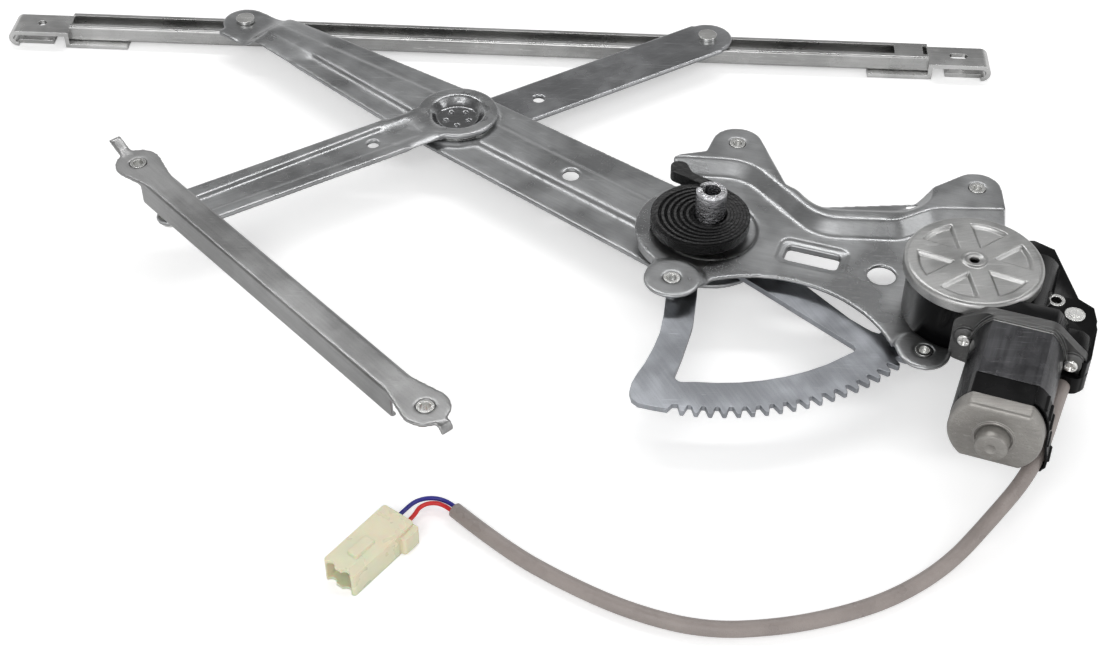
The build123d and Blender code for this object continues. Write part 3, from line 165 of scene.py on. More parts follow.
def makeFloor(settings):
    bpy.ops.mesh.primitive_plane_add(size=settings["floorSize"], location=(0, 0, 0))
    floor = bpy.context.object
    floor.name = "floor"
    floor.location.z = -settings["floorDrop"]
    paper = bpy.data.materials.new("paper")
    paper.use_nodes = True
    tree = paper.node_tree
    tree.nodes.clear()
    path = node(tree, "ShaderNodeLightPath")
    flat = node(tree, "ShaderNodeBsdfDiffuse")
    flat.inputs["Color"].default_value = (*settings["floorColour"], 1)
    glow = node(tree, "ShaderNodeEmission")
    glow.inputs["Color"].default_value = (1, 1, 1, 1)
    join(tree, maths(tree, "MULTIPLY", path.outputs["Is Camera Ray"], settings["floorLift"]),
         glow.inputs["Strength"])
    both = node(tree, "ShaderNodeAddShader")
    join(tree, flat.outputs[0], both.inputs[0])
    join(tree, glow.outputs[0], both.inputs[1])
    join(tree, both.outputs[0], node(tree, "ShaderNodeOutputMaterial").inputs["Surface"])
    floor.data.materials.append(paper)


def makeLamps():
    for name, lamp in lamps.items():
        data = bpy.data.lights.new(name, "AREA")
        data.shape = "RECTANGLE"
        data.size, data.size_y = lamp["size"]
        data.energy = lamp["power"]
        light = bpy.data.objects.new(name, data)
        scene.collection.objects.link(light)
        light.location = lamp["place"]
        light.rotation_euler = (-Vector(lamp["place"])).to_track_quat("-Z", "Y").to_euler()


makeSky(room)
makeFloor(room)
makeLamps()
scene.view_settings.view_transform = "Standard"
print("room and lamps made")


# Shared effects
grainSet = {"stretch": (0.05, 1.0, 1.0), "streakDetail": 4.0, "patchDetail": 3.0, "patchRough": 0.6,
            "pitScale": 2600.0, "pitFade": (0.62, 0.74), "pitDepth": 0.6}
greaseAndShadeSet = {"rimScale": 120.0, "rimRough": 0.65, "rimReach": 4.0, "leastBreak": 0.0001,
             "lumpDetail": 5.0, "lumpRough": 0.7}
scratchSet = {"ways": ((35, 240.0), (-62, 180.0)), "stretch": (0.03, 1.0, 1.0), "thin": 0.006,
              "gateScale": 60.0, "gateFade": (0.52, 0.66)}


def startGroup(name, inputs, outputs):
    group = bpy.data.node_groups.new(name, "ShaderNodeTree")
    for label, kind, value in inputs:
        socket = group.interface.new_socket(name=label, in_out="INPUT", socket_type="NodeSocket" + kind)
        if value is not None:
            socket.default_value = value
    for label, kind in outputs:
        group.interface.new_socket(name=label, in_out="OUTPUT", socket_type="NodeSocket" + kind)
    return group, group.nodes.new("NodeGroupInput"), group.nodes.new("NodeGroupOutput")


# Rolled sheet: faint streaks along X, soft patches and tiny pits
def makeGrainGroup():
    group, start, end = startGroup(
        "rolledGrain",
        [("Vector", "Vector", None), ("Grain", "Float", 900.0), ("Patch", "Float", 28.0)],
        [("Streak", "Float"), ("Patches", "Float"), ("Pits", "Float"), ("Height", "Float")])
    stretch = node(group, "ShaderNodeVectorMath", operation="MULTIPLY")
    join(group, start.outputs["Vector"], stretch.inputs[0])
    stretch.inputs[1].default_value = grainSet["stretch"]
    streak = node(group, "ShaderNodeTexNoise")
    streak.inputs["Detail"].default_value = grainSet["streakDetail"]
    join(group, stretch.outputs[0], streak.inputs["Vector"])
    join(group, start.outputs["Grain"], streak.inputs["Scale"])
    patches = node(group, "ShaderNodeTexNoise")
    patches.inputs["Detail"].default_value = grainSet["patchDetail"]
    patches.inputs["Roughness"].default_value = grainSet["patchRough"]
    join(group, start.outputs["Vector"], patches.inputs["Vector"])
    join(group, start.outputs["Patch"], patches.inputs["Scale"])
    fine = noise(group, start.outputs["Vector"], grainSet["pitScale"], 1.0)
    pits = ramp(group, fine, *grainSet["pitFade"])
    height = maths(group, "SUBTRACT", streak.outputs["Fac"], maths(group, "MULTIPLY", pits, grainSet["pitDepth"]))
    for label, value in (("Streak", streak.outputs["Fac"]), ("Patches", patches.outputs["Fac"]),
                         ("Pits", pits), ("Height", height)):
        join(group, value, end.inputs[label])
    return group


# Edges painted bright as a highlight, and rounded for the light
def makeEdgeGroup():
    group, start, end = startGroup(
        "highlitEdge", [("Width", "Float", 0.0006), ("Gain", "Float", 3.0)],
        [("Mask", "Float"), ("Normal", "Vector")])
    rounded = node(group, "ShaderNodeBevel", samples=4)
    join(group, start.outputs["Width"], rounded.inputs["Radius"])
    across = node(group, "ShaderNodeVectorMath", operation="DOT_PRODUCT")
    join(group, rounded.outputs[0], across.inputs[0])
    join(group, node(group, "ShaderNodeNewGeometry").outputs["True Normal"], across.inputs[1])
    off = maths(group, "SUBTRACT", 1.0, across.outputs["Value"])
    join(group, maths(group, "MULTIPLY", off, start.outputs["Gain"], clamp=True), end.inputs["Mask"])
    join(group, rounded.outputs[0], end.inputs["Normal"])
    return group


# Smeared grease round a point, also laid as painted shade where the arms cross: thick in the middle, broken at its
# rim
def makeGreaseAndShadeGroup():
    group, start, end = startGroup(
        "smearedGreaseAndShade",
        [("Vector", "Vector", None), ("Centre", "Vector", (0, 0, 0)), ("Reach", "Float", 0.03),
         ("Break", "Float", 0.01), ("Lumps", "Float", 260.0)],
        [("Mask", "Float"), ("Height", "Float")])
    away = node(group, "ShaderNodeVectorMath", operation="DISTANCE")
    join(group, start.outputs["Vector"], away.inputs[0])
    join(group, start.outputs["Centre"], away.inputs[1])
    rim = noise(group, start.outputs["Vector"], greaseAndShadeSet["rimScale"], 4.0, greaseAndShadeSet["rimRough"])
    shift = maths(group, "MULTIPLY", maths(group, "SUBTRACT", rim, 0.5),
                  maths(group, "MULTIPLY", start.outputs["Break"], greaseAndShadeSet["rimReach"]))
    inside = maths(group, "SUBTRACT", start.outputs["Reach"], maths(group, "ADD", away.outputs["Value"], shift))
    width = maths(group, "MAXIMUM", start.outputs["Break"], greaseAndShadeSet["leastBreak"])
    mask = maths(group, "DIVIDE", inside, width, clamp=True)
    lumps = node(group, "ShaderNodeTexNoise")
    lumps.inputs["Detail"].default_value = greaseAndShadeSet["lumpDetail"]
    lumps.inputs["Roughness"].default_value = greaseAndShadeSet["lumpRough"]
    join(group, start.outputs["Vector"], lumps.inputs["Vector"])
    join(group, start.outputs["Lumps"], lumps.inputs["Scale"])
    join(group, mask, end.inputs["Mask"])
    join(group, maths(group, "MULTIPLY", lumps.outputs["Fac"], mask), end.inputs["Height"])
    return group


# Thin handling scratches in two directions
def makeScratchGroup():
    group, start, end = startGroup(
        "handlingScratches", [("Vector", "Vector", None), ("Amount", "Float", 0.5)], [("Mask", "Float")])
    total = None
    for angle, scale in scratchSet["ways"]:
        turn = node(group, "ShaderNodeMapping")
        turn.inputs["Rotation"].default_value = (0, 0, math.radians(angle))
        turn.inputs["Scale"].default_value = scratchSet["stretch"]
        join(group, start.outputs["Vector"], turn.inputs["Vector"])
        lines = noise(group, turn.outputs[0], scale, 3.0, 0.6, 0.2)
        near = maths(group, "ABSOLUTE", maths(group, "SUBTRACT", lines, 0.5))
        thin = ramp(group, near, 0.0, scratchSet["thin"], 1.0, 0.0)
        cover = noise(group, start.outputs["Vector"], scratchSet["gateScale"] + angle, 1.0)
        gate = ramp(group, cover, *scratchSet["gateFade"])
        line = maths(group, "MULTIPLY", thin, gate)
        total = line if total is None else maths(group, "MAXIMUM", total, line)
    join(group, maths(group, "MULTIPLY", total, start.outputs["Amount"]), end.inputs["Mask"])
    return group


effects = {
    "grain": makeGrainGroup(),
    "edge": makeEdgeGroup(),
    "greaseAndShade": makeGreaseAndShadeGroup(),
    "scratch": makeScratchGroup(),
}


def place(tree, effect, vector=None, **values):
    made = node(tree, "ShaderNodeGroup", node_tree=effects[effect])
    for label, value in values.items():
        made.inputs[label].default_value = value
    if vector is not None:
        join(tree, vector, made.inputs["Vector"])
    return made


def startMaterial(name):
    material = bpy.data.materials.new(name)
    material.use_nodes = True
    tree = material.node_tree
    return material, tree, tree.nodes["Principled BSDF"], node(tree, "ShaderNodeTexCoord").outputs["Object"]


def turnSpot(tree, spot, turn):
    mapping = node(tree, "ShaderNodeMapping", vector_type="TEXTURE")
    mapping.inputs["Rotation"].default_value = (0, 0, math.radians(turn))
    join(tree, spot, mapping.inputs["Vector"])
    return mapping.outputs[0]


def shades(colour, depth):
    dark = tuple(c * (1 - depth) for c in colour)
    light = tuple(min(1, c * (1 + depth)) for c in colour)
    return dark, light


def connectSurface(tree, shader, look, tone, rough, height, edge):
    bump = node(tree, "ShaderNodeBump")
    bump.inputs["Strength"].default_value = look["bump"]
    bump.inputs["Distance"].default_value = look["bumpDepth"]
    join(tree, height, bump.inputs["Height"])
    join(tree, edge.outputs["Normal"], bump.inputs["Normal"])
    join(tree, tone, shader.inputs["Base Color"])
    join(tree, rough, shader.inputs["Roughness"])
    join(tree, bump.outputs[0], shader.inputs["Normal"])


# A black band with round corners, painted across the can at its far end
def paintBand(tree, spot, tone, rough, band):
    def measure(direction, origin):
        dot = node(tree, "ShaderNodeVectorMath", operation="DOT_PRODUCT")
        join(tree, spot, dot.inputs[0])
        dot.inputs[1].default_value = direction
        return maths(tree, "SUBTRACT", dot.outputs["Value"], origin)
    along = measure(band["along"], band["alongFrom"])
    across = maths(tree, "ABSOLUTE", measure(band["across"], band["acrossFrom"]))
    corner = band["corner"]
    beside = maths(tree, "MAXIMUM", maths(tree, "SUBTRACT", across, band["half"] - corner), 0.0)
    before = maths(tree, "MAXIMUM", maths(tree, "SUBTRACT", band["start"] + corner, along), 0.0)
    away = maths(tree, "SQRT", maths(tree, "ADD", maths(tree, "MULTIPLY", beside, beside),
                                     maths(tree, "MULTIPLY", before, before)))
    mask = ramp(tree, away, corner - band["fade"], corner, 1.0, 0.0)
    rim = maths(tree, "COMPARE", along, band["rimAt"], band["rimHalf"])
    tone = blendColour(tree, rim, tone, band["rimColour"])
    tone = blendColour(tree, mask, tone, band["colour"])
    rough = maths(tree, "SUBTRACT", rough, maths(tree, "MULTIPLY", mask, band["shine"]))
    return tone, rough, maths(tree, "SUBTRACT", 1.0, mask)


# Bare metal. A look names what differs from these settings
metalBase = {
    "turn": 0.0, "grain": 900.0, "patch": 28.0, "patchDepth": 0.16, "patchFade": (0.32, 0.68), "streakDepth": 0.1,
    "edge": 0.0005, "edgeGain": 3.0, "edgeHighlight": 0.55, "scratch": 0.5, "roughSpread": 0.06,
    "pitShare": 0.35, "pitColour": (0.05, 0.05, 0.05), "bump": 0.25, "bumpDepth": 0.00012, "metallic": 1.0,
    "lumps": 260.0, "greaseAndShade": [], "greaseAndShadeColour": (0.03, 0.03, 0.035), "greaseShine": 0.22,
}


def makeMetal(name, settings):
    look = {**metalBase, **settings}
    material, tree, shader, spot = startMaterial(name)
    grain = place(tree, "grain", turnSpot(tree, spot, look["turn"]), Grain=look["grain"], Patch=look["patch"])
    edge = place(tree, "edge", Width=look["edge"], Gain=look["edgeGain"])
    scratch = place(tree, "scratch", spot, Amount=look["scratch"])
    dark, light = shades(look["colour"], look["patchDepth"])
    tone = blendColour(tree, ramp(tree, grain.outputs["Patches"], *look["patchFade"]), dark, light)
    streak = ramp(tree, grain.outputs["Streak"], 0.3, 0.7, 1 - look["streakDepth"], 1.0)
    tone = blendColour(tree, 1.0, tone, streak, "MULTIPLY")
    tone = blendColour(tree, maths(tree, "MULTIPLY", grain.outputs["Pits"], look["pitShare"]), tone,
                       look["pitColour"])
    # Edges are painted lighter as a highlight; scratches take the same lighter colour as real wear
    scratchAndHighlightTone = tuple(min(1, c * 1.5 + 0.12) for c in look["colour"])
    tone = blendColour(tree, maths(tree, "MULTIPLY", edge.outputs["Mask"], look["edgeHighlight"]), tone, scratchAndHighlightTone)
    tone = blendColour(tree, scratch.outputs["Mask"], tone, scratchAndHighlightTone)
    spread = look["roughSpread"]
    rough = ramp(tree, grain.outputs["Patches"], 0.3, 0.7, look["rough"] - spread, look["rough"] + spread)
    height = grain.outputs["Height"]
    if "band" in look:
        tone, rough, metal = paintBand(tree, spot, tone, rough, look["band"])
        join(tree, metal, shader.inputs["Metallic"])
    else:
        shader.inputs["Metallic"].default_value = look["metallic"]
    # Grease patches darken, shine and roughen the surface; round the arms' crossing the dark patch is painted shade
    # as well as grease
    for centre, reach, rim, darkness, thick in look["greaseAndShade"]:
        patch = place(tree, "greaseAndShade", spot, Centre=centre, Reach=reach, Break=rim, Lumps=look["lumps"])
        mask = patch.outputs["Mask"]
        tone = blendColour(tree, maths(tree, "MULTIPLY", mask, darkness), tone, look["greaseAndShadeColour"])
        rough = maths(tree, "SUBTRACT", rough, maths(tree, "MULTIPLY", mask, look["greaseShine"]))
        height = maths(tree, "ADD", height, maths(tree, "MULTIPLY", patch.outputs["Height"], thick))
    connectSurface(tree, shader, look, tone, rough, height, edge)
    return material


finishes = {}
crossJoint = (-0.01709, 0.07448, 0.022)
canBand = {"along": (-0.29237, -0.9563, 0.0), "alongFrom": 0.0034, "across": (0.9563, -0.29237, 0.0),
           "acrossFrom": 0.27549, "start": 0.0708, "half": 0.0190, "corner": 0.005, "fade": 0.0002,
           "colour": (0.003, 0.003, 0.0033), "shine": 0.16,
           "rimAt": 0.0362, "rimHalf": 0.0004, "rimColour": (0.85, 0.85, 0.84)}
metalLooks = {
    # The dark patch at crossJoint on the lift arm, and the one at the same spot on the lower cross arm, is painted
    # shade between the arms as well as grease
    "liftArm": {"colour": (0.36, 0.365, 0.37), "rough": 0.32, "turn": 144.3,
                "greaseAndShade": [(crossJoint, 0.022, 0.006, 0.35, 2.0)]},
    "auxLower": {"colour": (0.38, 0.385, 0.39), "rough": 0.28, "turn": 35.7,
                 "greaseAndShade": [((-0.0171, 0.0745, 0.024), 0.016, 0.005, 0.45, 3.0)]},
    "auxUpper": {"colour": (0.36, 0.365, 0.375), "rough": 0.28, "turn": 35.7},
    "sector": {"colour": (0.41, 0.425, 0.455), "rough": 0.34, "turn": -60.0, "patchDepth": 0.22},
    "rail": {"colour": (0.50, 0.50, 0.495), "rough": 0.28},
    "brackets": {"colour": (0.62, 0.62, 0.615), "rough": 0.26},
    "channel": {"colour": (0.36, 0.36, 0.36), "rough": 0.34, "turn": -44.8},
    "plate": {"colour": (0.385, 0.39, 0.395), "rough": 0.31, "turn": -15.0, "lumps": 520.0,
              "greaseAndShadeColour": (0.34, 0.34, 0.35),
              "greaseAndShade": [((0.0830, -0.0120, 0.0315), 0.016, 0.004, 0.30, 3.0)]},
    "cover": {"colour": (0.41, 0.41, 0.405), "rough": 0.31, "turn": 20.0},
    "bright": {"colour": (0.80, 0.80, 0.78), "rough": 0.22},
    "shaft": {"colour": (0.62, 0.62, 0.64), "rough": 0.13, "turn": 90.0, "bump": 0.5, "bumpDepth": 0.0006,
              "lumps": 420.0, "greaseAndShade": [((0.1169, -0.0218, 0.040), 0.018, 0.004, 0.25, 3.0)]},
    "castMetal": {"colour": (0.12, 0.12, 0.119), "rough": 0.36, "grain": 500.0, "bump": 0.5,
                  "bumpDepth": 0.0003, "streakDepth": 0.04},
    "can": {"colour": (0.085, 0.085, 0.09), "rough": 0.27, "turn": -107.0, "grain": 700.0,
            "streakDepth": 0.35, "patchDepth": 0.3, "band": canBand},
    "cap": {"colour": (0.31, 0.298, 0.28), "rough": 0.38, "metallic": 0.6},
    "core": {"colour": (0.30, 0.26, 0.22), "rough": 0.5},
    "copper": {"colour": (0.72, 0.42, 0.27), "rough": 0.35},
    "bronze": {"colour": (0.60, 0.44, 0.25), "rough": 0.45},
    "ferrite": {"colour": (0.10, 0.10, 0.10), "rough": 0.6, "metallic": 0.0},
}
metalNodes = {
    "liftArm": ["lift_arm"],
    "auxLower": ["aux_arm_lower"],
    "auxUpper": ["aux_arm_upper"],
    "sector": ["sector_gear"],
    "rail": ["lift_rail"],
    "brackets": ["rail_bracket_left", "rail_bracket_right"],
    "channel": ["equalizer_channel"],
    "plate": ["base_plate"],
    "cover": ["gear_cover"],
    "bright": ["sector_rivets", "lift_stud", "cross_washer", "aux_stud", "channel_stud", "channel_weld_nuts",
               "plate_weld_nuts", "pivot_bush", "output_pinion", "worm", "motor_screws", "motor_bolts",
               "mount_bush", "threaded_insert", "connector_terminals"],
    "shaft": ["pivot_shaft"],
    "castMetal": ["flange_bracket"],
    "can": ["motor_can"],
    "cap": ["end_cap"],
    "core": ["armature", "brushes"],
    "copper": ["commutator"],
    "bronze": ["armature_bushes"],
    "ferrite": ["field_magnets"],
}


def dress(names, material):
    for name in names:
        data = nodes[name].data
        data.materials.clear()
        data.materials.append(material)


for look, settings in metalLooks.items():
    finishes[look] = makeMetal(look, settings)
    dress(metalNodes[look], finishes[look])
print("metals done")


# Plastics and rubber, with what they share
plasticBase = {
    "edge": 0.0005, "edgeGain": 3.0, "cloud": 60.0, "fine": 1500.0, "depth": 0.12, "edgeHighlight": 0.4,
    "roughLess": 0.05, "roughMore": 0.07, "bump": 0.2, "bumpDepth": 0.0001, "lumpHeight": 4.0, "sockets": {},
}


def makePlastic(name, settings):
    look = {**plasticBase, **settings}
    material, tree, shader, spot = startMaterial(name)
    edge = place(tree, "edge", Width=look["edge"], Gain=look["edgeGain"])
    cloud = noise(tree, spot, look["cloud"], 3.0, 0.6)
    height = noise(tree, spot, look["fine"], 2.0)
    dark, light = shades(look["colour"], look["depth"])
    tone = blendColour(tree, ramp(tree, cloud, 0.3, 0.7), dark, light)
    # Edges are painted lighter as a highlight
    highlitPlasticEdge = tuple(min(1, c * 1.25 + 0.03) for c in look["colour"])
    tone = blendColour(tree, maths(tree, "MULTIPLY", edge.outputs["Mask"], look["edgeHighlight"]), tone, highlitPlasticEdge)
    rough = ramp(tree, cloud, 0.3, 0.7, look["rough"] - look["roughLess"], look["rough"] + look["roughMore"])
    if "lumps" in look:
        lumps = noise(tree, spot, look["lumps"], 4.0, 0.65)
        height = maths(tree, "ADD", height, maths(tree, "MULTIPLY", lumps, look["lumpHeight"]))
    connectSurface(tree, shader, look, tone, rough, height, edge)
    for socket, value in look["sockets"].items():
        shader.inputs[socket].default_value = value
    return material


plasticLooks = {
    "blackHousing": {"colour": (0.0035, 0.0035, 0.0038), "rough": 0.20, "edgeHighlight": 0.2,
                     "sockets": {"Specular IOR Level": 0.12}},
    "blackBand": {"colour": (0.003, 0.003, 0.0033), "rough": 0.24, "edgeHighlight": 0.2,
                  "sockets": {"Specular IOR Level": 0.12}},
    "greasedSpring": {"colour": (0.0025, 0.0025, 0.0028), "rough": 0.13, "lumps": 420.0, "bump": 1.0,
                      "bumpDepth": 0.0012, "edgeHighlight": 0.1, "sockets": {"Specular IOR Level": 0.28}},
    "rubber": {"colour": (0.03, 0.03, 0.03), "rough": 0.6},
    "paleNylon": {"colour": (0.75, 0.73, 0.65), "rough": 0.45},
    "connectorNylon": {"colour": (0.84, 0.79, 0.58), "rough": 0.30, "depth": 0.04, "edgeHighlight": 0.0,
                       "sockets": {"Transmission Weight": 0.12, "Subsurface Weight": 0.55,
                                   "Subsurface Scale": 0.006, "IOR": 1.5}},
}
plasticNodes = {
    "blackHousing": ["gear_housing"],
    "blackBand": ["brush_holder", "cable_strap"],
    "greasedSpring": ["counterbalance_spring"],
    "rubber": ["drive_damper", "cable_grommet"],
    "paleNylon": ["lift_slider", "aux_slider", "channel_slider", "worm_wheel"],
    "connectorNylon": ["connector_housing"],
}
for look, settings in plasticLooks.items():
    finishes[look] = makePlastic(look, settings)
    dress(plasticNodes[look], finishes[look])
print("plastics done")

# Modelling helpers. Shapes are drawn in millimetres in a frame of their own
mmScale = Matrix.Scale(0.001, 4)


def frameAt(x, y, z, turn=0.0):
    return Matrix.Translation((x, y, z)) @ Matrix.Rotation(math.radians(turn), 4, "Z")


motorSet = {"place": (262.45, -83.8), "height": 46.5, "turn": -17.0, "canRadius": 20.25, "canHalf": 15.5}
pivotFrame = frameAt(116.9, -21.8, 0)
outputFrame = frameAt(235.3, -75.5, 0)
motorFrame = (frameAt(*motorSet["place"], motorSet["height"], motorSet["turn"])
              @ Matrix.Rotation(math.radians(90), 4, "X"))          # Z along the motor
motorPlan = (frameAt(*motorSet["place"], 0, motorSet["turn"])
             @ Matrix.Scale(-1, 4, (0, 1, 0)))                      # X across, Y along the motor
weldNear = 0.002         # millimetres
levelNear = 0.01         # millimetres
bevelFrom = 40.0         # degrees between faces


def isVert(item):
    return isinstance(item, bmesh.types.BMVert)


def isFace(item):
    return isinstance(item, bmesh.types.BMFace)


# Corner points (x, y, radius) become an outline with rounded corners
def softCorners(corners, steps=6):
    outline = []
    count = len(corners)
    for index, (x, y, radius) in enumerate(corners):
        at = Vector((x, y))
        if not radius:
            outline.append((x, y))
            continue
        back = (Vector(corners[index - 1][:2]) - at).normalized()
        onward = (Vector(corners[(index + 1) % count][:2]) - at).normalized()
        half = back.angle(onward) / 2
        centre = at + (back + onward).normalized() * radius / math.sin(half)
        begin = at + back * radius / math.tan(half) - centre
        end = at + onward * radius / math.tan(half) - centre
        for step in range(steps + 1):
            spoke = begin.lerp(end, step / steps).normalized() * radius
            outline.append(tuple(centre + spoke))
    return outline


def polar(radius, degrees):
    return (radius * math.cos(math.radians(degrees)), radius * math.sin(math.radians(degrees)))


def ringOf(radius, sides):
    return [polar(radius, 360 // sides * n) for n in range(sides)]


# A flat face inside the first outline, with the others as holes, raised to a solid
def raiseShape(mesh, outlines, low, high):
    edges = []
    for outline in outlines:
        ring = [mesh.verts.new((x, y, low)) for x, y in outline]
        edges += [mesh.edges.new((ring[index - 1], ring[index])) for index in range(len(ring))]
    filled = bmesh.ops.triangle_fill(mesh, use_beauty=True, use_dissolve=False, edges=edges)
    raised = bmesh.ops.extrude_face_region(mesh, geom=[item for item in filled["geom"] if isFace(item)])
    tops = [item for item in raised["geom"] if isVert(item)]
    bmesh.ops.translate(mesh, vec=(0, 0, high - low), verts=tops)
    return tops


# A profile of (radius, height) turned about Z
def turnProfile(mesh, profile, centre=(0, 0), steps=64):
    chain = [mesh.verts.new((centre[0] + radius, centre[1], height)) for radius, height in profile]
    edges = [mesh.edges.new(pair) for pair in zip(chain, chain[1:])]
    bmesh.ops.spin(mesh, geom=chain + edges, cent=(*centre, 0), axis=(0, 0, 1), angle=math.tau,
                   steps=steps, use_merge=True)


def addPiece(name, data, body, slot, stands=()):
    piece = bpy.data.objects.new(name, data)
    scene.collection.objects.link(piece)
    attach(piece, body)
    if stands:
        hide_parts(*stands)
    return piece


def finishPiece(name, mesh, place, body, look, slot, stands=(), sharp=35.0, bevel=None):
    bmesh.ops.remove_doubles(mesh, verts=mesh.verts, dist=weldNear)
    bmesh.ops.recalc_face_normals(mesh, faces=mesh.faces)
    bmesh.ops.transform(mesh, matrix=mmScale @ place, verts=mesh.verts)
    data = bpy.data.meshes.new(name)
    mesh.to_mesh(data)
    mesh.free()
    data.materials.append(finishes[look])
    data.shade_smooth()
    data.set_sharp_from_angle(angle=math.radians(sharp))
    piece = addPiece(name, data, body, slot, stands)
    if bevel:
        rounding = piece.modifiers.new("rounding", "BEVEL")
        rounding.width, rounding.segments = bevel
        rounding.limit_method = "ANGLE"
        rounding.angle_limit = math.radians(bevelFrom)


# Pressed sheets: a copy of the flat-faced node with its creases rounded as a press leaves them
softSheets = {
    "pressedPlate": {"node": "base_plate", "body": "base", "look": "plate", "slot": "pressed_steel",
                     "voxel": 0.0007, "rounds": 10, "ease": [((0.185, 0.020), 0.042, 16)]},
    "pressedLiftArm": {"node": "lift_arm", "body": "lift_arm_body", "look": "liftArm", "slot": "pressed_steel",
                       "voxel": 0.0008, "rounds": 6,
                       "ease": [((-0.1243, 0.1515), 0.030, 110), ((-0.01, 0.07), 0.30, 6)]},
    "pressedCrossArm": {"node": "aux_arm_lower", "body": "aux_arm_body", "look": "auxLower",
                        "slot": "pressed_steel", "voxel": 0.0007, "rounds": 6,
                        "ease": [((-0.0400, 0.0580), 0.017, 70)],
                        "trim": ((-0.1511, -0.0218), (-0.8121, -0.5835), 0.0070)},
    "pressedUpperArm": {"node": "aux_arm_upper", "body": "aux_arm_body", "look": "auxUpper",
                        "slot": "pressed_steel", "voxel": 0.0006, "rounds": 8},
    "pressedChannel": {"node": "equalizer_channel", "body": "channel_body", "look": "channel",
                       "slot": "pressed_steel", "voxel": 0.0008, "rounds": 7},
}


# A shorter round end past the stud
def trimEnd(mesh, centre, outward, reach):
    for vert in mesh.verts:
        away = Vector((vert.co.x - centre[0], vert.co.y - centre[1]))
        if away.dot(Vector(outward)) > 0 and away.length > reach:
            away = away.normalized() * reach
            vert.co.x, vert.co.y = centre[0] + away.x, centre[1] + away.y


# Heights only, so the outline stays
def easeHeights(soft, centre, reach, rounds):
    mesh = bmesh.new()
    mesh.from_mesh(soft)
    near = [vert for vert in mesh.verts if math.dist(vert.co[:2], centre) < reach]
    for _ in range(rounds):
        bmesh.ops.smooth_vert(mesh, verts=near, factor=0.5, use_axis_x=False, use_axis_y=False,
                              use_axis_z=True)
    mesh.to_mesh(soft)
    mesh.free()


def softenSheet(name, sheet):
    mesh = bmesh.new()
    mesh.from_mesh(nodes[sheet["node"]].data)
    bmesh.ops.remove_doubles(mesh, verts=mesh.verts, dist=0.000001)
    if "trim" in sheet:
        trimEnd(mesh, *sheet["trim"])
    data = bpy.data.meshes.new(name + "Hard")
    mesh.to_mesh(data)
    mesh.free()
    hard = bpy.data.objects.new(name + "Hard", data)
    scene.collection.objects.link(hard)
    remesh = hard.modifiers.new("remesh", "REMESH")
    remesh.mode = "VOXEL"
    remesh.voxel_size = sheet["voxel"]
    soften = hard.modifiers.new("soften", "SMOOTH")
    soften.factor = 0.5
    soften.iterations = sheet["rounds"]
    soft = bpy.data.meshes.new_from_object(hard.evaluated_get(bpy.context.evaluated_depsgraph_get()))
    bpy.data.objects.remove(hard)
    for area in sheet.get("ease", []):
        easeHeights(soft, *area)
    soft.name = name
    soft.materials.clear()
    soft.materials.append(finishes[sheet["look"]])
    soft.shade_smooth()
    print(name, len(soft.polygons), "faces")
    addPiece(name, soft, sheet["body"], sheet["slot"], (sheet["node"],))


for name, sheet in softSheets.items():
    softenSheet(name, sheet)
print("pressed sheets done")

# Sector gear: curved left leg, straight right leg, plain rounded end, blunt teeth
sectorSet = {
    "low": 22.0, "high": 25.0, "root": 117.5, "plainEnd": 121.4, "rimInner": 103.5, "hub": 26.0,
    "firstValley": -97.0, "teeth": 29, "pitch": 3.0,
    "flank": [(117.5, 2.35), (119.0, 1.78), (120.3, 1.36), (121.3, 1.04), (121.7, 0.8), (121.9, 0.45)],
    "leftLeg": [(-19.5, -35.0), (-20.2, -46.5), (-20.9, -58.1), (-22.4, -70.3), (-25.2, -80.9), (-28.7, -91.0),
                (-32.0, -98.2), (-34.4, -104.5), (-35.3, -110.2), (-34.2, -114.6), (-31.2, -117.4)],
    "rightLeg": [(79.2, -64.4), (76.2, -63.2), (72.9, -60.7), (66.3, -55.0), (55.2, -42.5), (46.2, -32.2),
                 (33.0, -17.6)],
    "window": [(-4.6, -28.6, 3.0), (-5.3, -42.0, 40.0), (-7.0, -64.0, 60.0), (-11.6, -85.0, 60.0),
               (-16.3, -103.0, 3.6)],
    "windowEnd": [(69.5, -75.6, 3.2), (12.5, -24.6, 3.0)],
    "hubAngles": range(-30, 232, 8), "plainAngles": (-103.0, -101.5, -100.0, -98.6), "rimAngles": range(-10, -37, -3),
    "windowAngles": (-93, -88, -82, -76, -70, -64, -58), "windowInset": 1.2, "firstStep": (0.4, 0.7),
    "bevel": (0.00035, 2),
}


def makeSector(sector):
    outline = [polar(sector["hub"], angle) for angle in sector["hubAngles"]]
    outline += sector["leftLeg"]
    outline += [polar(sector["plainEnd"], angle) for angle in sector["plainAngles"]]
    rise, before = sector["firstStep"]
    outline.append(polar(sector["root"] + rise, sector["firstValley"] - before))
    for tooth in range(sector["teeth"]):
        middle = sector["firstValley"] + (tooth + 0.5) * sector["pitch"]
        for side, flank in ((-1, sector["flank"]), (1, reversed(sector["flank"]))):
            for radius, half in flank:
                outline.append(polar(radius, middle + side * math.degrees(half / radius)))
    outline.append(polar(sector["root"], sector["rimAngles"][0]))
    outline += [polar(sector["rimInner"], angle) for angle in sector["rimAngles"]]
    outline += sector["rightLeg"]
    inset = sector["rimInner"] - sector["windowInset"]
    bottom = [(*polar(inset, angle), 0) for angle in sector["windowAngles"]]
    window = softCorners(sector["window"] + bottom + sector["windowEnd"])
    mesh = bmesh.new()
    raiseShape(mesh, [outline, window], sector["low"], sector["high"])
    finishPiece("toothedSector", mesh, pivotFrame, "lift_arm_body", "sector", "sector_steel",
                ("sector_gear",), bevel=sector["bevel"])


makeSector(sectorSet)

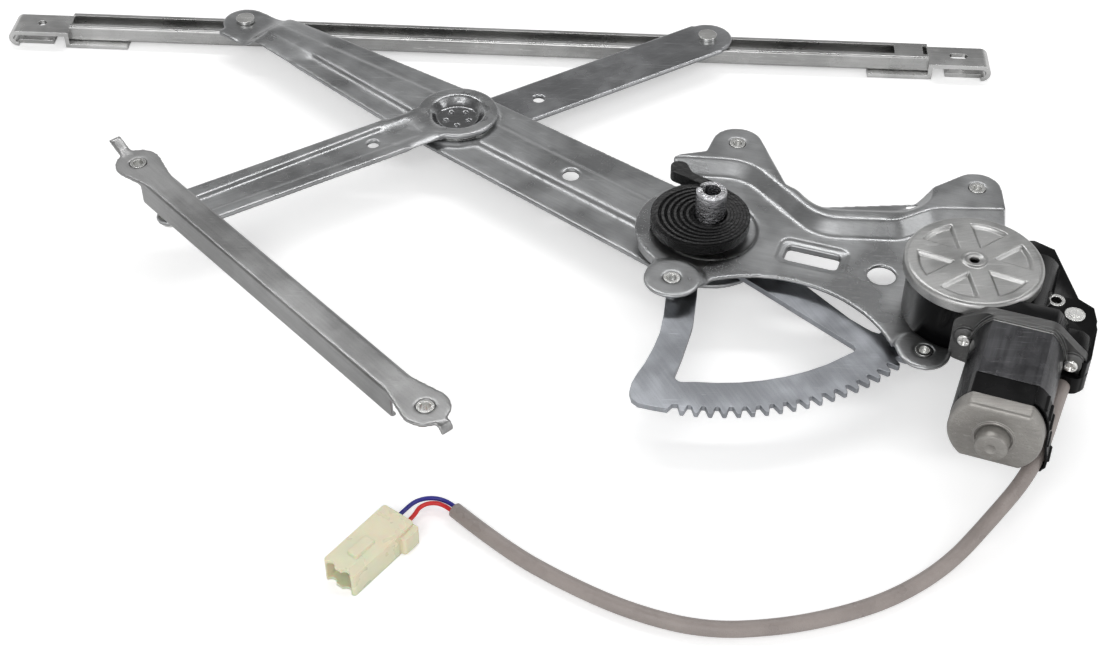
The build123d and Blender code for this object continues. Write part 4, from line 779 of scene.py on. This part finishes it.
# Counterbalance spring: wound strip, packed with black grease, with its outer end behind the plate's tab
springSet = {
    "centre": (-4.7, -0.5), "outer": 23.6, "inner": 9.0, "turns": 6.4, "steps": 44, "strip": 1.3,
    "low": 34.2, "high": 40.4, "leave": 82.0, "tailHigh": 40.1, "packLow": 34.6, "packHigh": 40.0,
    "packOuter": 24.3, "packSides": 72, "shaftHole": 8.0, "holeSides": 36, "bevel": (0.0005, 3),
    "tail": [(-0.5, 21.4, 1.0), (-10.0, 27.6, 8.0), (-19.6, 33.2, 4.4), (-19.8, 42.0, 4.2), (-12.0, 41.6, 4.0),
             (-9.0, 32.8, 6.0), (2.6, 25.6, 1.0)],
}


def makeSpring(spring):
    mesh = bmesh.new()
    half = spring["strip"] / 2
    low, high = spring["low"], spring["high"]
    total = int(spring["turns"] * spring["steps"])

    def along(step):
        share = step / total
        angle = spring["leave"] + 360 * (share - 1) * spring["turns"]
        radius = spring["inner"] + (spring["outer"] - spring["inner"]) * share
        middle = Vector(spring["centre"]) * share
        return (Matrix.Translation((*middle, 0)) @ Matrix.Rotation(math.radians(angle), 4, "Z")
                @ Matrix.Translation((radius, 0, 0)))

    section = ((-half, 0, low), (half, 0, low), (half, 0, high), (-half, 0, high))
    corners = [mesh.verts.new(spot) for spot in section]
    bmesh.ops.transform(mesh, matrix=along(0), verts=corners)
    face = mesh.faces.new(corners)
    for step in range(total):
        moved = bmesh.ops.extrude_face_region(mesh, geom=[face])["geom"]
        face = next(item for item in moved if isFace(item))
        bmesh.ops.transform(mesh, matrix=along(step + 1) @ along(step).inverted(), verts=face.verts)
    raiseShape(mesh, [softCorners(spring["tail"])], low, spring["tailHigh"])
    centre = spring["centre"]
    pack = [(centre[0] + x, centre[1] + y) for x, y in ringOf(spring["packOuter"], spring["packSides"])]
    raiseShape(mesh, [pack, ringOf(spring["shaftHole"], spring["holeSides"])], spring["packLow"], spring["packHigh"])
    finishPiece("woundSpring", mesh, pivotFrame, "base", "greasedSpring", "spring_steel",
                ("counterbalance_spring",), bevel=spring["bevel"])


makeSpring(springSet)

# Gear cover: a lid with six pressed wedges, a small raised ring and a rolled edge
coverSet = {
    "radius": 31.7, "top": 63.0, "under": 61.4, "bottom": 57.0, "wall": 1.5, "edge": 2.2, "turn": 8.0,
    "panelInner": 9.4, "panelOuter": 26.0, "spoke": 8.4, "depth": 1.5, "slope": 1.3,
    "ringAt": 4.6, "ringWide": 1.5, "ringHigh": 0.6, "hole": 2.1, "holeBreak": (0.35, 0.5), "lipBreak": (0.4, 0.3),
    "edgeStep": 15, "rings": 58, "spokes": 6, "steps": 360,
}


def easeIn(value):
    value = min(1.0, max(0.0, value))
    return value * value * (3 - 2 * value)


def makeCover(cover):
    mesh = bmesh.new()
    flat = cover["radius"] - cover["edge"]
    hole, under, top, bottom = (cover[label] for label in ("hole", "under", "top", "bottom"))
    out, down = cover["holeBreak"]
    first = hole + out
    profile = [(hole, under), (hole, top - down), (first, top)]
    profile += [(first + (flat - first) * n / cover["rings"], top) for n in range(1, cover["rings"] + 1)]
    for angle in range(cover["edgeStep"], 91, cover["edgeStep"]):
        x, y = polar(cover["edge"], 90 - angle)
        profile.append((flat + x, top - cover["edge"] + y))
    inside = cover["radius"] - cover["wall"]
    lip, rise = cover["lipBreak"]
    profile += [(cover["radius"], bottom + rise), (cover["radius"] - lip, bottom), (inside, bottom),
                (inside, under), (hole, under)]
    turnProfile(mesh, profile, steps=cover["steps"])
    bmesh.ops.remove_doubles(mesh, verts=mesh.verts, dist=weldNear)
    sector = 360 / cover["spokes"]
    for vert in mesh.verts:
        radius = math.hypot(vert.co.x, vert.co.y)
        if vert.co.z < top - levelNear or radius > flat:
            continue
        angle = math.degrees(math.atan2(vert.co.y, vert.co.x)) - cover["turn"]
        off = (angle + sector / 2) % sector - sector / 2          # from the middle of the wedge
        beside = radius * math.sin(math.radians(sector / 2 - abs(off))) - cover["spoke"] / 2
        inside = min(radius - cover["panelInner"], cover["panelOuter"] - radius, beside)
        vert.co.z -= cover["depth"] * easeIn(inside / cover["slope"])
        vert.co.z += cover["ringHigh"] * (1 - easeIn(abs(radius - cover["ringAt"]) / cover["ringWide"]))
    finishPiece("pressedCover", mesh, outputFrame, "base", "cover", "cover_steel", ("gear_cover",), sharp=50.0)


makeCover(coverSet)

# Motor end cap: a dished cap with rounded edges and a stepped bearing boss
capSet = {
    "inset": 0.1, "from": 84.0, "to": 92.0, "round": 3.4, "corner": 2.2,
    "boss": [(9.0, 91.4), (8.9, 92.5), (8.5, 92.9), (7.9, 92.8), (7.7, 91.9), (7.3, 91.9), (7.15, 93.0),
             (7.1, 94.6), (7.0, 98.2), (6.7, 99.0), (5.9, 99.4), (2.5, 99.5), (1.9, 99.1), (1.2, 98.8), (0.0, 98.7)],
}


def motorOutline(radius, half, corner):
    angle = math.degrees(math.asin(half / radius))
    right = [(*polar(radius, -angle + 2 * angle * n / 16), 0) for n in range(1, 16)]
    left = [(-x, -y, 0) for x, y, _ in right]
    edge = radius * math.cos(math.radians(angle))
    return softCorners([(edge, -half, corner), *right, (edge, half, corner), (-edge, half, corner), *left,
                        (-edge, -half, corner)])


def makeCap(cap):
    mesh = bmesh.new()
    shape = motorOutline(motorSet["canRadius"] - cap["inset"], motorSet["canHalf"], cap["corner"])
    tops = raiseShape(mesh, [shape], cap["from"], cap["to"])
    front = dict.fromkeys(face for vert in tops for face in vert.link_faces
                          if abs(face.calc_center_median().z - cap["to"]) < levelNear)
    bmesh.ops.dissolve_faces(mesh, faces=list(front))          # in one order, so each run gives the same mesh
    rim = [edge for edge in mesh.edges if all(abs(vert.co.z - cap["to"]) < levelNear for vert in edge.verts)]
    bmesh.ops.bevel(mesh, geom=rim, offset=cap["round"], segments=6, profile=0.5, affect="EDGES", material=-1,
                    clamp_overlap=True)
    turnProfile(mesh, cap["boss"])
    finishPiece("dishedCap", mesh, motorFrame, "base", "cap", "cap_paint", ("end_cap",))


makeCap(capSet)

# Flange bracket: cast frame round the can with a tall left shoulder and a round right lobe
bracketSet = {
    "low": 29.3, "faceAt": 33.7, "rimLow": 31.4, "rimHigh": 35.7, "bevel": (0.0009, 3),
    "outline": [(-29.6, -14.0, 4.0), (-29.8, 8.6, 5.0), (-17.0, 16.3, 7.0), (14.0, 16.6, 8.0), (24.5, 7.2, 4.0),
                (30.0, 3.0, 5.5), (29.6, -7.0, 5.5), (20.0, -12.0, 4.0), (14.0, -16.6, 4.0), (-16.0, -16.6, 4.0)],
    "rimWide": 0.9, "rimCorner": 3.0, "holeWide": 0.05, "holeCorner": 1.6, "lobeAt": 23.5, "lobeSides": 40,
    "lobe": [(0.0, 32.3), (5.4, 32.3), (5.2, 34.9), (4.6, 35.3), (0.0, 35.3)],
}


def makeBracket(bracket):
    mesh = bmesh.new()
    raiseShape(mesh, [softCorners(bracket["outline"])], bracket["low"], bracket["faceAt"])
    rim, hole = (motorOutline(motorSet["canRadius"] + wide, motorSet["canHalf"] + wide, corner)
                 for wide, corner in ((bracket["rimWide"], bracket["rimCorner"]),
                                      (bracket["holeWide"], bracket["holeCorner"])))
    raiseShape(mesh, [rim, hole], bracket["rimLow"], bracket["rimHigh"])
    for side in (-1, 1):
        turnProfile(mesh, bracket["lobe"], centre=(side * bracket["lobeAt"], 0), steps=bracket["lobeSides"])
    finishPiece("castFlange", mesh, motorFrame, "base", "castMetal", "cast_metal", ("flange_bracket",),
                bevel=bracket["bevel"])


makeBracket(bracketSet)

# Cable strap: a ribbed strip round the can's side and the sleeve
strapSet = {
    "from": 72.0, "to": 83.0, "sheet": 1.1, "ribs": (2, 3, 4, 6, 8, 10), "ribSides": 12,
    "rib": [(0, 72.6), (0.75, 72.9), (0.75, 82.1), (0, 82.4)], "bevel": (0.0003, 2),
    "path": [(12.4, 16.1), (14.8, 15.0), (17.4, 12.4), (19.6, 7.8), (20.8, 3.0), (21.1, -2.0), (21.4, -7.0),
             (22.3, -11.5), (23.1, -15.5), (23.0, -19.0), (21.2, -21.6), (18.2, -22.0), (15.6, -20.4), (14.0, -17.6)],
}


def makeStrap(strap):
    mesh = bmesh.new()
    path = [Vector(spot) for spot in strap["path"]]
    outer, inner = [], []
    for index, spot in enumerate(path):
        run = (path[min(index + 1, len(path) - 1)] - path[max(index - 1, 0)]).normalized()
        aside = Vector((-run.y, run.x)) * strap["sheet"] / 2
        outer.append(tuple(spot + aside))
        inner.append(tuple(spot - aside))
    raiseShape(mesh, [outer + inner[::-1]], strap["from"], strap["to"])
    for index in strap["ribs"]:
        turnProfile(mesh, strap["rib"], centre=outer[index], steps=strap["ribSides"])
    finishPiece("ribbedStrap", mesh, motorFrame, "base", "blackBand", "black_plastic", ("cable_strap",),
                bevel=strap["bevel"])


makeStrap(strapSet)

# Housing: a copy of the node without its fin, and the thick flank that the cable comes out of
flankSet = {
    "pad": [(17.0, 22.0, 2.0), (31.0, 20.0, 3.0), (31.4, 33.0, 5.0), (27.0, 38.5, 4.5), (19.0, 36.5, 3.0)],
    "padLow": 31.5, "padHigh": 40.5,
    "wall": [(26.0, 4.0, 0.5), (29.2, 4.4, 1.5), (31.0, 11.0, 3.0), (31.4, 31.0, 3.0), (29.6, 36.5, 1.6),
             (27.6, 35.0, 1.4), (28.6, 26.0, 1.0), (26.0, 26.0, 0.5)],
    "wallHigh": 48.6, "finFrom": 25.8, "finBeside": 30.05, "finOuter": 30.4, "finBehind": 19.0, "weld": 0.001,
    "shellBevel": (0.0008, 2), "bevel": (0.0012, 4),
}


def makeFlank(flank):
    mesh = bmesh.new()
    mesh.from_mesh(nodes["gear_housing"].data)
    bmesh.ops.transform(mesh, matrix=(mmScale @ motorPlan).inverted(), verts=mesh.verts)
    bmesh.ops.remove_doubles(mesh, verts=mesh.verts, dist=flank["weld"])
    fin = [vert for vert in mesh.verts
           if (vert.co.y > flank["finFrom"] and vert.co.x > flank["finBeside"])
           or (vert.co.y > flank["finBehind"] and vert.co.x > flank["finOuter"])]
    bmesh.ops.delete(mesh, geom=fin, context="VERTS")
    bmesh.ops.transform(mesh, matrix=motorPlan, verts=mesh.verts)
    finishPiece("housingShell", mesh, Matrix.Identity(4), "base", "blackHousing", "housing_plastic",
                ("gear_housing",), bevel=flank["shellBevel"])
    mesh = bmesh.new()
    raiseShape(mesh, [softCorners(flank["pad"])], flank["padLow"], flank["padHigh"])
    raiseShape(mesh, [softCorners(flank["wall"])], flank["padLow"], flank["wallHigh"])
    bmesh.ops.transform(mesh, matrix=motorPlan, verts=mesh.verts)
    finishPiece("housingFlank", mesh, Matrix.Identity(4), "base", "blackHousing", "housing_plastic",
                bevel=flank["bevel"])


makeFlank(flankSet)

# Threads that show in the ears' nuts
threadSet = {"outer": 3.3, "inner": 2.35, "root": 2.75, "pitch": 0.8, "turns": 5, "sides": 32,
             "ears": [(-17.7, -41.7, 34.45), (96.9, -84.6, 34.45), (14.2, 61.8, 37.95), (132.7, 32.0, 37.95)]}


def makeThreads(thread):
    mesh = bmesh.new()
    for x, y, top in thread["ears"]:
        profile = [(thread["outer"], top - thread["pitch"] * thread["turns"]), (thread["outer"], top)]
        for turn in range(thread["turns"]):
            height = top - turn * thread["pitch"]
            profile += [(thread["root"], height), (thread["inner"], height - thread["pitch"] / 2)]
        profile += [(thread["root"], top - thread["pitch"] * thread["turns"]), profile[0]]
        turnProfile(mesh, profile, centre=(x, y), steps=thread["sides"])
    finishPiece("earThreads", mesh, pivotFrame, "base", "bright", "bright_steel", sharp=20.0)


makeThreads(threadSet)
print("new pieces done")

# Cord
cordLooks = {
    "sleeveVinyl": {"colour": (0.30, 0.262, 0.245), "rough": 0.30, "depth": 0.10, "cloud": 45.0, "lumps": 130.0,
                    "bump": 0.35, "bumpDepth": 0.0006, "edgeHighlight": 0.0},
    "blueWire": {"colour": (0.024, 0.022, 0.26), "rough": 0.3, "edgeHighlight": 0.0},
    "redWire": {"colour": (0.62, 0.022, 0.022), "rough": 0.3, "edgeHighlight": 0.0},
}
pivotPlan = (0.1169, -0.0218)
cordRoutes = {
    "cableSleeve": {
        "node": "cable_sleeve", "look": "sleeveVinyl", "slot": "sleeve_vinyl", "diameter": 0.007,
        "length": 0.3547,
        "points": [(0.16023, -0.09264, 0.0352), (0.1515, -0.1153, 0.0347), (0.1432, -0.1385, 0.0315),
                   (0.1352, -0.1520, 0.0235), (0.1215, -0.1645, 0.0115), (0.1028, -0.1852, 0.0046),
                   (0.0800, -0.2030, 0.0036), (0.0570, -0.2142, 0.0036), (0.0300, -0.2225, 0.0036),
                   (0.0000, -0.2260, 0.0036), (-0.0300, -0.2185, 0.0036), (-0.0580, -0.2050, 0.0036),
                   (-0.0855, -0.1878, 0.0036), (-0.1087, -0.1671, 0.0036)]},
    "blueLead": {
        "node": "blue_wire", "look": "blueWire", "slot": "wire_blue", "diameter": 0.002, "length": 0.0345,
        "points": None, "side": -1, "entry": -0.0030,
        "middle": [(-0.1195, -0.1609, 0.0042), (-0.1262, -0.1643, 0.0053)]},
    "redLead": {
        "node": "red_wire", "look": "redWire", "slot": "wire_red", "diameter": 0.002, "length": 0.030,
        "points": None, "side": 1, "entry": 0.0025,
        "middle": [(-0.1199, -0.1640, 0.0042), (-0.1243, -0.1680, 0.0053)]},
}
connector = {"place": (-0.1313, -0.1778), "turn": -123.7, "lead": 0.0065, "height": 0.006}
wires = {"spread": 0.0013, "straight": 0.006}
curveSet = {"bevelSteps": 6, "lengthSteps": 12, "order": 3}


def leadPoints(route):
    last = Vector(cordRoutes["cableSleeve"]["points"][-1])
    before = Vector(cordRoutes["cableSleeve"]["points"][-2])
    onward = (last - before).normalized()
    begin = last + Vector((-onward.y, onward.x, 0)) * route["side"] * wires["spread"]
    angle = math.radians(connector["turn"])
    into = Vector((math.cos(angle), math.sin(angle), 0))
    beside = Vector((-into.y, into.x, 0))
    mouth = Vector((*connector["place"], connector["height"])) + beside * route["entry"]
    return [begin, begin + onward * wires["straight"], *map(Vector, route["middle"]),
            mouth - into * connector["lead"], mouth]


def makeCord(name, route):
    points = route["points"] or leadPoints(route)
    data = bpy.data.curves.new(name, "CURVE")
    data.dimensions = "3D"
    data.bevel_depth = route["diameter"] / 2
    data.bevel_resolution = curveSet["bevelSteps"]
    data.resolution_u = curveSet["lengthSteps"]
    data.use_fill_caps = True
    spline = data.splines.new("NURBS")
    spline.points.add(len(points) - 1)
    for point, (x, y, z) in zip(spline.points, points):
        point.co = (x + pivotPlan[0], y + pivotPlan[1], z, 1)
    spline.order_u = curveSet["order"]
    spline.use_endpoint_u = True
    piece = bpy.data.objects.new(name, data)
    scene.collection.objects.link(piece)
    data.materials.append(makePlastic(route["look"], cordLooks[route["look"]]))
    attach(piece, "base")
    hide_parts(route["node"])


for name, route in cordRoutes.items():
    makeCord(name, route)
print("cord done")
